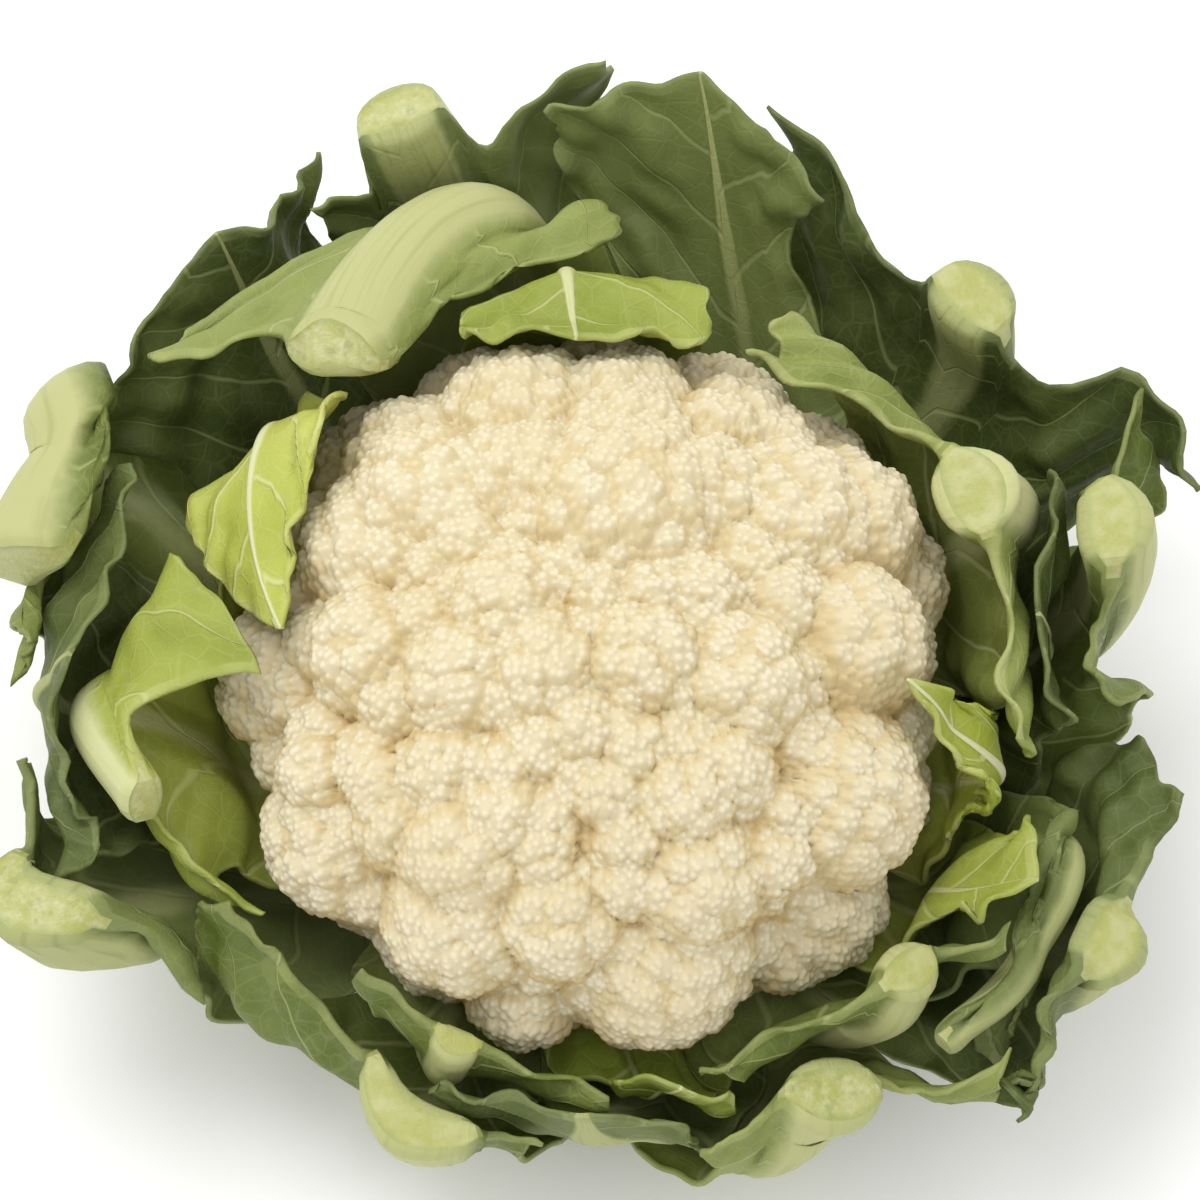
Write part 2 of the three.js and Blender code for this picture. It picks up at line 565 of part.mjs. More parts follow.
// A closed slab between two grids of points, split alike on both faces
function slab(outer, inner, width) {
  const count = outer.length;
  const height = count / width;
  const faces = [];
  const quad = (a, b, c, d) => faces.push(a, b, c, a, c, d);
  for (let i = 0; i + 1 < height; i += 1) {
    for (let j = 0; j + 1 < width; j += 1) {
      const a = i * width + j;
      faces.push(a, a + 1, a + width + 1, a, a + width + 1, a + width);
      faces.push(count + a, count + a + width + 1, count + a + 1);
      faces.push(count + a, count + a + width, count + a + width + 1);
    }
  }
  for (let j = 0; j + 1 < width; j += 1) {
    const top = (height - 1) * width + j;
    quad(j, count + j, count + j + 1, j + 1);
    quad(top + 1, count + top + 1, count + top, top);
  }
  for (let i = 0; i + 1 < height; i += 1) {
    const left = i * width;
    const right = left + width - 1;
    quad(left + width, count + left + width, count + left, left);
    quad(right, count + right, count + right + width, right + width);
  }
  const geometry = new THREE.BufferGeometry();
  const points = [...outer, ...inner].flatMap((p) => [p.x, p.y, p.z]);
  geometry.setAttribute('position', new THREE.Float32BufferAttribute(points, 3));
  geometry.setIndex(faces);
  return geometry;
}

function finish(name) {
  return new THREE.MeshStandardMaterial({ ...FINISHES[name], metalness: 0 });
}

function part(name, geometry, material) {
  const mesh = new THREE.Mesh(geometry, material);
  mesh.name = name;
  return mesh;
}

// The head: the curd on its stalk, then the leaves, each draped over those inside it
const head = new THREE.Group();
const curd = curdGeometry();
head.add(part('curd', curd, finish('curd')));
head.add(part('stalk', stalkGeometry(), finish('stalk')));

const inside = newMap();
for (let i = 0; i < curd.attributes.position.count; i += 1) {
  raise(inside, new THREE.Vector3().fromBufferAttribute(curd.attributes.position, i), CURD_CLEARANCE);
}
for (const leaf of LEAVES) {
  const { ribWidth, ribDepth } = TIERS[leaf.tier];
  const full = { ...LEAF_DEFAULTS, ribWidth, ribDepth, ...leaf };
  head.add(part(leaf.name, leafGeometry(full, inside), finish(leaf.tint)));
}

export default head;
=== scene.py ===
"""The looks of a whole cauliflower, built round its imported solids.

The curd is grown as florets, knobs on the florets and buds on the knobs. Each leaf is laid out
from the same places as its solid and draped over what lies inside it, with finer veins, waves and
teeth. Dimensions are in millimetres until a piece is made, and pieces are in metres.
"""

import math

import bmesh
import bpy
import numpy as np
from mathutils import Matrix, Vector, kdtree


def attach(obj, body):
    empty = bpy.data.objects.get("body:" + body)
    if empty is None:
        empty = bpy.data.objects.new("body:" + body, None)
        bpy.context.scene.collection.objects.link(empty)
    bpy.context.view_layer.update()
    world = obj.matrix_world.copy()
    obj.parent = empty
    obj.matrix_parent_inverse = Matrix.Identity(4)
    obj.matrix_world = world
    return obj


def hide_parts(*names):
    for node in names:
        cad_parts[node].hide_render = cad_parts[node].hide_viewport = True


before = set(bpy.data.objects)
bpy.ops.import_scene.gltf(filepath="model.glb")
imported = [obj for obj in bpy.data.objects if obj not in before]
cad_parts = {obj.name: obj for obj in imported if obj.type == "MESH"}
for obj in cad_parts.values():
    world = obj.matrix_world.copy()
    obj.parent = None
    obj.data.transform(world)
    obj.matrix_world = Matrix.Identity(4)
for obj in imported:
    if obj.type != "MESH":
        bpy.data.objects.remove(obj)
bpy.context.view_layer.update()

MM = 0.001
SEED = 7
GOLDEN_TURN = math.pi * (3 - math.sqrt(5))
OFF_AXIS = [0.31, 0.87, 0.38]

# The camera, which looks down on the head from the front
CAMERA_TILT = 65
CAMERA_DISTANCE = 1200
CAMERA_TARGET = np.array([0, 3.6, 100.0])
CAMERA_WIDTH = 258

# Driving dimensions of the curd and the stalk, as in the solids
CURD_MIDDLE = np.array([-2.0, 0, 62])
CURD_RADIUS = 75
CURD_RISE = 53
CURD_DROP = 35
CURD_CLEARANCE = 1.8
CREASE_DEPTH = 5
STALK_RADIUS = 26
STALK_HEIGHT = 42
GAP = 0.4

# The florets: where each one's middle shows on the dome, as [across, up the dome, radius]
FLORETS = [
    [-38, 44, 15], [-20, 50, 10], [-29, 34, 8], [-45, 31, 8], [-20, 20, 11], [-52, 10, 11],
    [-38, 16, 6], [-31, 3, 11], [-11, 5, 11], [9, 46, 20], [2, 22, 6], [14, 22, 7], [25, 22, 8],
    [4, 64, 10], [28, 57, 9], [41, 54, 8], [59, 38, 15], [37, 29, 8], [44, 20, 9], [60, 11, 14],
    [12, 7, 12], [36, 2, 13], [31, 11, 6], [-61, -18, 8], [-61, -36, 15], [-47, -21, 7],
    [-33, -18, 8], [-19, -16, 5], [-44, -30, 8], [-29, -37, 13], [-20, -28, 9], [-11, -36, 7],
    [-31, -54, 15], [-7, -52, 12], [-16, -72, 10], [16, -65, 19], [24, -44, 13], [8, -33, 7],
    [7, -43, 7], [21, -25, 10], [4, -23, 7], [10, -13, 7], [-2, -8, 7], [31, -17, 9],
    [59, -26, 17], [43, -27, 6], [41, -37, 8], [54, -52, 14], [46, -60, 8],
]
VIEW_TILT = 25
FLORET_SINK = 0.45
SHOULDER_SINK = 0.1
SHOULDER_RISE = (0.1, 0.5)
SHOULDER_ASIDE = (0.6, 0.9)
FLORET_BULGE = 1.15

# Rows of florets round the rim, as [tilt, first bearing, last bearing, count, radius]
FLORET_ROWS = [
    [-13, 0, 340, 18, 14], [6, 20, 180, 8, 15], [27, 30, 158, 6, 15], [47, 48, 140, 4, 13],
]
ROW_UNEVEN = 4
ROW_SIZES = 0.18
ROW_BEAT = {"tilt": 2.3, "size": 4.1}
FILL = {"count": 150, "radius": 8, "sink": 0.8, "turn": 137.5, "lowest": -0.25}

# Knobs on the florets: their size against the floret's, how far they stand out as a share of it,
# how far the surface between them sinks, and how they are spread
KNOB_SHARE = 0.36
KNOB_SIZES = (3.0, 5.2)
KNOB_VARIES = (0.82, 1.18)
KNOB_RISE = 0.17
KNOB_FLOOR = 1.1
KNOB_SPREAD = 1.1
KNOB_CLOSENESS = 2.7
KNOB_UNEVEN = 0.25
LEAST_KNOBS = 3

# Buds cover florets and knobs alike, and are told by the same measures
BUDS = 10500
BUD_RADIUS = 1.15
BUD_VARIES = (0.75, 1.2)
BUD_RISE = 0.32
BUD_FLOOR = 0.2
BUD_UNEVEN = 0.22

# Past SKIRT_FROM of its radius a ball goes on as a cone, so that creases are not sheer
SKIRT_FROM = 0.74
SKIRT_TO = 1.35
CURD_CELLS = 240
GROWTH_MIDDLE = np.array([-2.0, 0, 15])
CURD_LOWEST_TILT = 23.5

# Driving dimensions of the leaves, as in the solids
BLADE = 1.3
LEAF_ROOT_RADIUS = STALK_RADIUS + GAP
ROOT_BLADE = 1.5
BELLY_SPAN = 19
LEAF_CLEARANCE = 2
LOWEST_LEAF = 3
RIB_SWELL = 0.42
TIERS = {
    "inner": {
        "root": 35, "belly": [64, 40], "shoulder": [86, 62], "lean": 2,
        "rib_width": [14, 19, 16], "rib_depth": [6, 6, 9],
    },
    "middle": {
        "root": 25, "belly": [71, 31], "shoulder": [97, 57], "lean": 8,
        "rib_width": [15, 20, 17], "rib_depth": [6, 7, 11],
    },
    "outer": {
        "root": 14.5, "belly": [77, 21], "shoulder": [106, 53], "lean": 11,
        "rib_width": [15, 23, 22], "rib_depth": [6, 8, 16],
    },
}
LEAF_DEFAULTS = {
    "shoulder": None, "ccw_high": None, "cw_high": None, "roll": [0, 0, 0], "wave": 2.2,
    "waves": 1.6, "notch": 0.16, "round": 0, "lobe": 0.16, "lobes": 2.5, "teeth": 0.05,
    "ragged": 0.05, "crumple": 1, "cut": True,
}

# The leaves from the curd outwards, as in the solids
LEAVES = [
    dict(name="leaf_heart_right", tier="inner", root=-8, shoulder=[-16, 90, 72], end=[-15, 62, 99],
         ccw=[-7, 76, 92], cw=[-24, 86, 85], rib_width=[8, 6, 3], rib_depth=[4, 2, 1], rows=9,
         wing=3, wave=0.6, notch=0, round=0.3, lobe=0.06, teeth=0.1, cut=False, tint="heart"),
    dict(name="leaf_heart_left", tier="inner", root=165, shoulder=[146, 86, 92],
         end=[181, 69, 100], ccw=[172, 90, 80], ccw_high=[158, 95, 76], cw=[172, 59, 106],
         cw_high=[138, 74, 105], rib_width=[9, 8, 4], rib_depth=[4, 3, 2], rows=9, wing=3,
         wave=0.4, notch=0, round=0.2, lobe=0.06, cut=False, tint="heart"),
    dict(name="leaf_heart_back", tier="inner", root=94, shoulder=[95, 85, 95], end=[95, 57, 108],
         ccw=[121, 61, 103], ccw_high=[112, 80, 94], cw=[68, 61, 105], cw_high=[72, 82, 95],
         rib_width=[12, 8, 4], rib_depth=[5, 3, 1.5], rows=9, wing=4, wave=1.6, notch=0,
         round=0.08, lobe=0.1, cut=False, tint="bright"),
    dict(name="leaf_inner_right", tier="inner", root=28, shoulder=[22, 91, 70], end=[21, 86, 96],
         ccw=[68, 58, 106], ccw_high=[60, 84, 98], cw=[-20, 90, 82], rib_width=[14, 19, 21],
         rib_depth=[6, 9, 18], rows=9, wing=4, notch=0.06, tint="light"),
    dict(name="leaf_bud_right", tier="inner", root=-33, shoulder=[-34, 90, 66],
         end=[-30, 106, 79], ccw=[-20, 99, 82], cw=[-38, 98, 76], rib_width=[9, 5, 3],
         rib_depth=[4, 2, 1], rows=7, wing=3, wave=0.8, notch=0, round=0.15, lobe=0.05,
         teeth=0.1, cut=False, tint="bright"),
    dict(name="leaf_inner_front_right", tier="inner", root=-62, shoulder=[-50, 90, 54],
         end=[-47, 96, 71], ccw=[-35, 94, 79], cw=[-80, 90, 60], rib_width=[13, 17, 15],
         rib_depth=[6, 8, 12], rows=9, wing=4, notch=0.05, tint="mid"),
    dict(name="leaf_bud_front", tier="inner", root=-92, shoulder=[-84, 88, 44],
         end=[-80, 91, 60], ccw=[-70, 91, 60], cw=[-90, 89, 58], rib_width=[9, 5, 3],
         rib_depth=[4, 2, 1], rows=7, wing=3, wave=1, notch=0, round=0.1, teeth=0.08, cut=False,
         tint="bright"),
    dict(name="leaf_inner_front", tier="inner", root=-122, shoulder=[-112, 88, 50],
         end=[-110, 89, 66], ccw=[-84, 91, 56], cw=[-128, 85, 74], rib_width=[13, 12, 10],
         rib_depth=[6, 6, 7], rows=8, wing=4, notch=0.05, tint="mid"),
    dict(name="leaf_inner_left", tier="inner", root=-162, shoulder=[-175, 106, 70],
         end=[-161, 104, 81], ccw=[-140, 86, 60], ccw_high=[-150, 94, 54], cw=[-174, 70, 98],
         cw_high=[-195, 90, 92], rib_width=[14, 17, 14], rib_depth=[6, 8, 9], rows=9, wing=4,
         wave=1, tint="bright"),
    dict(name="leaf_middle_back_left", tier="middle", root=95, shoulder=[104, 104, 86],
         end=[134, 82, 106], ccw=[149, 120, 93], cw=[84, 98, 90], rib_width=[15, 23, 24],
         rib_depth=[6, 9, 14], roll=[0, -20, -50], rows=10, wing=4, notch=0.04, tint="mid"),
    dict(name="leaf_middle_back", tier="middle", root=52, shoulder=[74, 110, 62],
         end=[80, 132, 104], ccw=[99, 126, 101], cw=[64, 116, 92], rib_width=[15, 14, 5],
         rib_depth=[6, 6, 2], rows=10, wing=4, notch=0, round=0.05, lobe=0.14, cut=False,
         crumple=1.8, ragged=0.09, tint="dark"),
    dict(name="leaf_middle_right", tier="middle", root=-28, shoulder=[-22, 106, 62],
         end=[-47, 110, 58], ccw=[-14, 100, 68], cw=[-42, 122, 42], rib_width=[15, 13, 10],
         rib_depth=[6, 7, 6], rows=9, wing=4, notch=0.04, tint="dark"),
    dict(name="leaf_middle_right_high", tier="middle", root=12, end=[4, 94, 84],
         ccw=[26, 100, 90], cw=[-12, 93, 82], rib_width=[14, 10, 5], rib_depth=[6, 4, 2],
         rows=8, wing=3, notch=0, round=0.1, lobe=0.06, cut=False, tint="dark"),
    dict(name="leaf_middle_front", tier="middle", root=-72, shoulder=[-90, 88, 46],
         end=[-92, 88, 60], ccw=[-74, 90, 56], cw=[-114, 89, 62], rib_depth=[6, 4, 2], rows=7,
         wing=3, notch=0, round=0.1, cut=False, tint="dark"),
    dict(name="leaf_middle_left", tier="middle", root=-176, shoulder=[-178, 120, 62],
         end=[-178, 113, 86], ccw=[-152, 112, 66], cw=[-206, 104, 92], rib_width=[15, 11, 6],
         rib_depth=[6, 5, 3], rows=9, wing=4, notch=0, round=0.1, crumple=1.8, ragged=0.09,
         cut=False, tint="dark"),
    dict(name="leaf_outer_front_left", tier="outer", root=-112, shoulder=[-112, 98, 38],
         end=[-112, 92, 58], ccw=[-96, 92, 52], cw=[-152, 88, 74], cw_high=[-146, 106, 46],
         rib_width=[15, 25, 26], rib_depth=[6, 7, 12], rows=9, wing=4, tint="mid"),
    dict(name="leaf_outer_front_right", tier="outer", root=-72, shoulder=[-66, 98, 40],
         end=[-62, 98, 58], ccw=[-42, 106, 60], cw=[-80, 92, 54], rows=8, wing=3, tint="mid"),
    dict(name="leaf_outer_right_low", tier="outer", root=-32, end=[-29, 123, 64],
         ccw=[-11, 128, 72], ccw_high=[-4, 112, 58], cw=[-48, 116, 50], rows=9, wing=4,
         notch=0, lobe=0.08, crumple=1.8, ragged=0.09, tint="dark"),
    dict(name="leaf_outer_right", tier="outer", root=8, end=[13, 112, 92],
         ccw=[29, 140, 82], ccw_high=[20, 132, 60], cw=[-8, 97, 82], rows=9, wing=4,
         tint="mid"),
    dict(name="leaf_outer_back_right", tier="outer", root=48, end=[44, 114, 94],
         ccw=[78, 121, 86], cw=[15, 118, 76], rows=9, wing=4, tint="dark"),
    dict(name="leaf_outer_back", tier="outer", root=88, end=[110, 131, 99],
         ccw=[122, 124, 80], cw=[86, 126, 104], rows=9, wing=4, tint="dark"),
    dict(name="leaf_outer_back_left", tier="outer", root=128, end=[131, 130, 88],
         ccw=[158, 130, 82], cw=[114, 120, 84], rib_width=[15, 14, 5], rib_depth=[6, 5, 2],
         rows=9, wing=4, notch=0, round=0.15, lobe=0.12, crumple=1.8, ragged=0.09, cut=False,
         tint="dark"),
    dict(name="leaf_outer_left", tier="outer", root=166, shoulder=[154, 116, 76],
         end=[171, 120, 84], ccw=[184, 120, 72], cw=[148, 117, 82], rib_width=[15, 24, 26],
         roll=[0, -10, -40], rows=9, wing=4, tint="mid"),
    dict(name="leaf_outer_left_low", tier="outer", root=-152, end=[-156, 122, 70],
         ccw=[-138, 108, 54], cw=[-172, 121, 74], rows=8, wing=3, tint="dark"),
]
BELLY_TURN = 0.45
SHOULDER_TURN = 0.8
EDGE_BY_SHOULDER = np.array([0.8, 0.35, 0.3])
DRAPE_RUN = (0, 0.15)
NOTCH_RUN = (0.3, 1)
LOBE_RUN = (0.2, 0.5)
WAVE_RUN = (0.2, 0.7)
SWELL_RUN = (0.6, 1)

# The map of what lies inside a leaf, by bearing and tilt about the nest's middle, as in the solids
NEST_MIDDLE = np.array([0, 0, 60.0])
MAP_STEP = 2
MAP_BEARINGS = 360 // MAP_STEP
LOWEST_TILT = -80
MAP_TILTS = -2 * LOWEST_TILT // MAP_STEP
SETTLE_PASSES = 4

# How finely a leaf is divided, against its solid, and the size of its veins
ROWS_FINER = 9
WINGS_FINER = 6
RIB_COLUMNS = 13
SMOOTH_PASSES = 6
VEIN_SPACING = 21
VEIN_SLANT = 0.75
VEIN_CURVE = 0.006
VEIN_SHIFT = 0.37
RIB_FILLET = 0.22
FILLET_LENGTH = 4
TIP_TAPER = 0.8
TIP_RUN = (0.45, 1)
TANGENT_REACH = 0.02

# The relief of a blade: quilting between its veins, folds as [size, height, draw], and a ruffled
# edge, each from where it starts to where it is full
QUILT = 0.9
QUILT_FROM_RIB = (1, 14)
QUILT_RUN = (0.15, 0.4)
FOLDS = [[24, 0.8, 0], [9, 0.5, 50]]
RUFFLE = {"height": 2.2, "size": 18, "draw": 90, "run": (0.45, 1)}

# The edge of a blade: teeth, bays as [count, depth], how far in its end is torn, and rows past
# the end that round it off, as [distance, how much thinner]
TEETH = {"count": 11, "drift": 0.6, "beat": 2.3, "offset": 0.4, "bluntness": 0.8}
BAYS = [[4.3, 1.0], [7.9, 0.7], [12.7, 0.45]]
TORN_SHARE = 0.25
TORN_RUN = (0, 0.2)
END_ROUND = [[1.3, 0.1], [2.2, 0.32]]

RIPPLE_WAVES = 6
RIPPLE_VARIES = (0.7, 1.4)

chance = np.random.default_rng(SEED)


def smoothstep(value, low, high):
    share = np.clip((value - low) / (high - low), 0, 1)
    return share * share * (3 - 2 * share)


def unit(vectors):
    return vectors / np.linalg.norm(vectors, axis=-1, keepdims=True)


def place(bearing, radius, height):
    """Points from bearings in degrees, radii and heights."""
    turn = np.radians(bearing)
    return np.stack(np.broadcast_arrays(radius * np.cos(turn), radius * np.sin(turn), height), -1)


def through(places, u):
    """A smooth run through places, where u goes from 0 to 1."""
    places = np.array(places, float)
    padded = np.vstack([2 * places[0] - places[1], places, 2 * places[-1] - places[-2]])
    spans = len(places) - 1
    span = np.minimum((np.clip(u, 0, 1) * spans).astype(int), spans - 1)
    t = (np.clip(u, 0, 1) * spans - span)[..., None]
    before, first, last, after = (padded[span + k] for k in range(4))
    start, stop = (last - before) / 2, (after - first) / 2
    cubic = 2 * first - 2 * last + start + stop
    square = 3 * last - 3 * first - 2 * start - stop
    return ((cubic * t + square) * t + start) * t + first


def over_three(values, u):
    """A value that runs through three stations, at u of 0, 0.5 and 1."""
    return np.interp(u, [0, 0.5, 1], values)


def ripple(points, size, seed):
    """A smooth uneven value from -1 to 1 over points, with waves of about that size."""
    draw = np.random.default_rng(seed)
    total = np.zeros(points.shape[:-1])
    for _ in range(RIPPLE_WAVES):
        way = unit(draw.normal(size=3)) * math.tau / (size * draw.uniform(*RIPPLE_VARIES))
        total += np.sin(points @ way + draw.uniform(0, math.tau))
    return total / (RIPPLE_WAVES / 2)


# The camera comes first, because the florets are placed by what it sees


def make_camera():
    tilt = math.radians(CAMERA_TILT)
    back = np.array([0, -math.cos(tilt), math.sin(tilt)])
    data = bpy.data.cameras.new("camera")
    data.angle = 2 * math.atan(CAMERA_WIDTH / 2 / CAMERA_DISTANCE)
    camera = bpy.data.objects.new("camera", data)
    bpy.context.scene.collection.objects.link(camera)
    camera.location = (CAMERA_TARGET + back * CAMERA_DISTANCE) * MM
    camera.rotation_euler = (math.radians(90 - CAMERA_TILT), 0, 0)
    bpy.context.scene.camera = camera


# The curd


def dome_radius(directions):
    rise = np.where(directions[..., 2] > 0, CURD_RISE, CURD_DROP)
    flat = np.hypot(directions[..., 0], directions[..., 1]) / CURD_RADIUS
    return 1 / np.hypot(flat, directions[..., 2] / rise)


def dome_reach(directions):
    """How far the dome is from the growth's middle in each direction."""
    below = CURD_MIDDLE[2] - GROWTH_MIDDLE[2]
    flat = np.sum(directions[:, :2] ** 2, axis=1) / CURD_RADIUS**2
    reaches = []
    for rise in (CURD_RISE, CURD_DROP):
        square = flat + directions[:, 2] ** 2 / rise**2
        line = directions[:, 2] * below / rise**2
        root = np.sqrt(np.maximum(line**2 - square * (below**2 / rise**2 - 1), 0))
        reaches.append((line + root) / square)
    upper, lower = reaches
    return np.where(upper * directions[:, 2] > below, upper, lower)


def dome_depth(across, up, rise):
    """How far above the plane of its middle the dome stands towards a tilted viewer."""
    cos, sin = math.cos(math.radians(VIEW_TILT)), math.sin(math.radians(VIEW_TILT))
    square = (sin / CURD_RADIUS) ** 2 + (cos / rise) ** 2
    line = up * sin * cos * (1 / rise**2 - 1 / CURD_RADIUS**2)
    rest = (across**2 + (up * cos) ** 2) / CURD_RADIUS**2 + (up * sin / rise) ** 2 - 1
    return (math.sqrt(max(0, line * line - square * rest)) - line) / square


def floret_middle(across, up, radius):
    """The middle of a floret, from where it shows to a viewer who looks down on the head."""
    tilt = math.radians(VIEW_TILT)
    upward = np.array([0, math.cos(tilt), math.sin(tilt)])
    viewer = np.array([0, -math.sin(tilt), math.cos(tilt)])
    middle = np.array([across, 0, 0]) + upward * up
    high = dome_depth(across, up, CURD_RISE)
    above = middle[2] + viewer[2] * high > 0
    middle = middle + viewer * (high if above else dome_depth(across, up, CURD_DROP))
    direction = unit(middle)
    aside = math.hypot(across, up) / CURD_RADIUS
    raised = smoothstep(direction[2], *SHOULDER_RISE) * smoothstep(aside, *SHOULDER_ASIDE)
    return middle - direction * radius * (FLORET_SINK + (SHOULDER_SINK - FLORET_SINK) * raised)


def floret_balls():
    """Middles about the growth's middle, and radii, of the balls that make the florets."""
    middles = [floret_middle(*floret) for floret in FLORETS]
    radii = [radius for _, _, radius in FLORETS]
    for tilt, first, last, count, radius in FLORET_ROWS:
        for k in range(count):
            rise = math.radians(tilt + ROW_UNEVEN * math.sin(ROW_BEAT["tilt"] * k + tilt))
            bearing = first + (last - first) * k / (count - 1)
            direction = place(bearing, math.cos(rise), math.sin(rise))
            radii.append(radius * (1 + ROW_SIZES * math.sin(ROW_BEAT["size"] * k + tilt)))
            middles.append(direction * (dome_radius(direction) - radii[-1] * FLORET_SINK))
    for k in range(FILL["count"]):
        height = 1 + (FILL["lowest"] - 1) * (k + 0.5) / FILL["count"]
        direction = place(k * FILL["turn"], math.sqrt(1 - height * height), height)
        radii.append(FILL["radius"])
        middles.append(direction * (dome_radius(direction) - FILL["radius"] * FILL["sink"]))
    middles, radii = np.array(middles), np.array(radii)
    middles -= unit(middles) * ((FLORET_BULGE - 1) * radii)[:, None]
    return CURD_MIDDLE - GROWTH_MIDDLE + middles, radii * FLORET_BULGE


def cap_directions(axis, count, spread):
    """Directions over a cap about an axis, each turned by the golden angle from the last."""
    steps = np.arange(count) + 0.5
    height = 1 - (1 - math.cos(spread)) * steps / count
    turn = steps * GOLDEN_TURN + chance.uniform(0, math.tau)
    flat = np.sqrt(1 - height * height)
    side = unit(np.cross(axis, OFF_AXIS))
    other = np.cross(axis, side)
    return (
        height[:, None] * axis
        + (flat * np.cos(turn))[:, None] * side
        + (flat * np.sin(turn))[:, None] * other
    )


def grown_knobs(middles, radii):
    """Middles and radii of the knobs, which are spread over the outer caps of the florets."""
    found, found_radii = [], []
    cap = 1 - math.cos(KNOB_SPREAD)
    for middle, radius, size in zip(middles, radii, np.clip(radii * KNOB_SHARE, *KNOB_SIZES)):
        count = max(LEAST_KNOBS, int(KNOB_CLOSENESS * cap * (radius / size) ** 2))
        ways = cap_directions(unit(middle), count, KNOB_SPREAD)
        ways = unit(ways + chance.normal(scale=KNOB_UNEVEN * size / radius, size=ways.shape))
        small = size * chance.uniform(*KNOB_VARIES, count)
        found.append(middle + ways * (radius - small * (1 - KNOB_RISE))[:, None])
        found_radii.append(small)
    return np.vstack(found), np.concatenate(found_radii)


def scattered_buds(dome):
    """Middles and radii of the buds that cover the curd, sunk in what stands there."""
    widest = math.radians(90 - CURD_LOWEST_TILT)
    ways = cap_directions(np.array([0, 0, 1.0]), BUDS, widest)
    spacing = math.sqrt(math.tau * (1 - math.cos(widest)) / BUDS)
    ways = unit(ways + chance.normal(scale=spacing * BUD_UNEVEN, size=ways.shape))
    radii = BUD_RADIUS * chance.uniform(*BUD_VARIES, BUDS)
    return ways * (dome.reach_at(ways) - radii * (1 - BUD_RISE))[:, None], radii


def skirted(off):
    """The height of a ball of radius 1 at off from its middle, going on as a cone."""
    edge = math.sqrt(1 - SKIRT_FROM**2)
    ball = np.sqrt(1 - np.minimum(off, SKIRT_FROM) ** 2)
    return ball - np.maximum(off - SKIRT_FROM, 0) * SKIRT_FROM / edge


class Dome:
    """Directions from the growth's middle, and how far the curd reaches in each of them."""

    def __init__(self, directions):
        self.directions = directions
        self.reach = dome_reach(directions) - CREASE_DEPTH
        self.finder = kdtree.KDTree(len(directions))
        for number, direction in enumerate(directions):
            self.finder.insert(direction, number)
        self.finder.balance()

    def raise_balls(self, middles, radii):
        """Raises the reach to the balls, and returns how far aside of its ball each point is."""
        aside = np.full(len(self.reach), SKIRT_TO)
        distances = np.linalg.norm(middles, axis=1)
        for middle, radius, distance in zip(middles, radii, distances):
            half = math.asin(min(1, SKIRT_TO * radius / distance))
            near = self.finder.find_range(middle / distance, 2 * math.sin(half / 2))
            near = np.array([number for _, number, _ in near], int)
            if len(near) == 0:
                continue
            along = self.directions[near] @ middle
            off = np.sqrt(np.maximum(distance**2 - along**2, 0)) / radius
            tip = along + radius * skirted(off)
            higher = tip > self.reach[near]
            self.reach[near[higher]] = tip[higher]
            aside[near[higher]] = off[higher]
        return aside

    def reach_at(self, points):
        numbers = [self.finder.find(direction)[1] for direction in unit(points)]
        return self.reach[numbers]


def square_to_dome(across, up):
    """Directions over the curd's dome from a square, with cells of equal area."""
    widest = math.radians(90 - CURD_LOWEST_TILT)
    wide = np.abs(across) >= np.abs(up)
    ring = np.where(wide, across, up)
    share = np.where(wide, up, across) / np.where(ring == 0, 1, ring) * math.pi / 4
    turn = np.where(wide, share, math.pi / 2 - share)
    polar = 2 * np.arcsin(np.clip(np.abs(ring), 0, 1) * math.sin(widest / 2))
    turn = turn + np.where(ring < 0, math.pi, 0)
    aside = np.sin(polar)
    return np.stack([aside * np.cos(turn), aside * np.sin(turn), np.cos(polar)], -1)


def grow_curd():
    """The curd's surface in four quarters: directions, reach and fall from floret, knob, bud."""
    steps = np.linspace(0, 1, CURD_CELLS + 1)
    up, across = np.meshgrid(steps, steps, indexing="ij")
    quarters = [(1, 1), (-1, 1), (-1, -1), (1, -1)]
    squares = [square_to_dome(across * x, up * y).reshape(-1, 3) for x, y in quarters]
    dome = Dome(np.vstack(squares))
    middles, radii = floret_balls()
    floret_fall = dome.raise_balls(middles, radii)
    dome.reach -= KNOB_FLOOR
    knob_fall = dome.raise_balls(*grown_knobs(middles, radii))
    buds, bud_radii = scattered_buds(dome)
    dome.reach -= BUD_FLOOR * BUD_RADIUS
    bud_fall = dome.raise_balls(buds, bud_radii)
    falls = np.stack([floret_fall, knob_fall, bud_fall], -1)
    return dome.directions.reshape(4, -1, 3), dome.reach.reshape(4, -1), falls.reshape(4, -1, 3)


def curd_quarter(name, points, falls):
    """One quarter of the curd, closed down to the middle of its underside."""
    quarter = bmesh.new()
    bmesh.ops.create_grid(quarter, x_segments=CURD_CELLS, y_segments=CURD_CELLS, size=1)
    for vert, point in zip(quarter.verts, points * MM):
        vert.co = point
    rim = [edge for edge in quarter.edges if edge.is_boundary]
    for edge in rim:
        edge.smooth = False
    drawn = bmesh.ops.extrude_edge_only(quarter, edges=rim)["geom"]
    inner = [part for part in drawn if isinstance(part, bmesh.types.BMVert)]
    heart = Vector((CURD_MIDDLE[0], CURD_MIDDLE[1], STALK_HEIGHT + 2 * GAP)) * MM
    bmesh.ops.pointmerge(quarter, verts=inner, merge_co=heart)
    bmesh.ops.recalc_face_normals(quarter, faces=quarter.faces)
    piece = make_piece(name, quarter)
    values = np.ones((len(piece.data.vertices), 3))
    values[: len(falls)] = falls
    add_attribute(piece.data, "fall", values)
    return piece


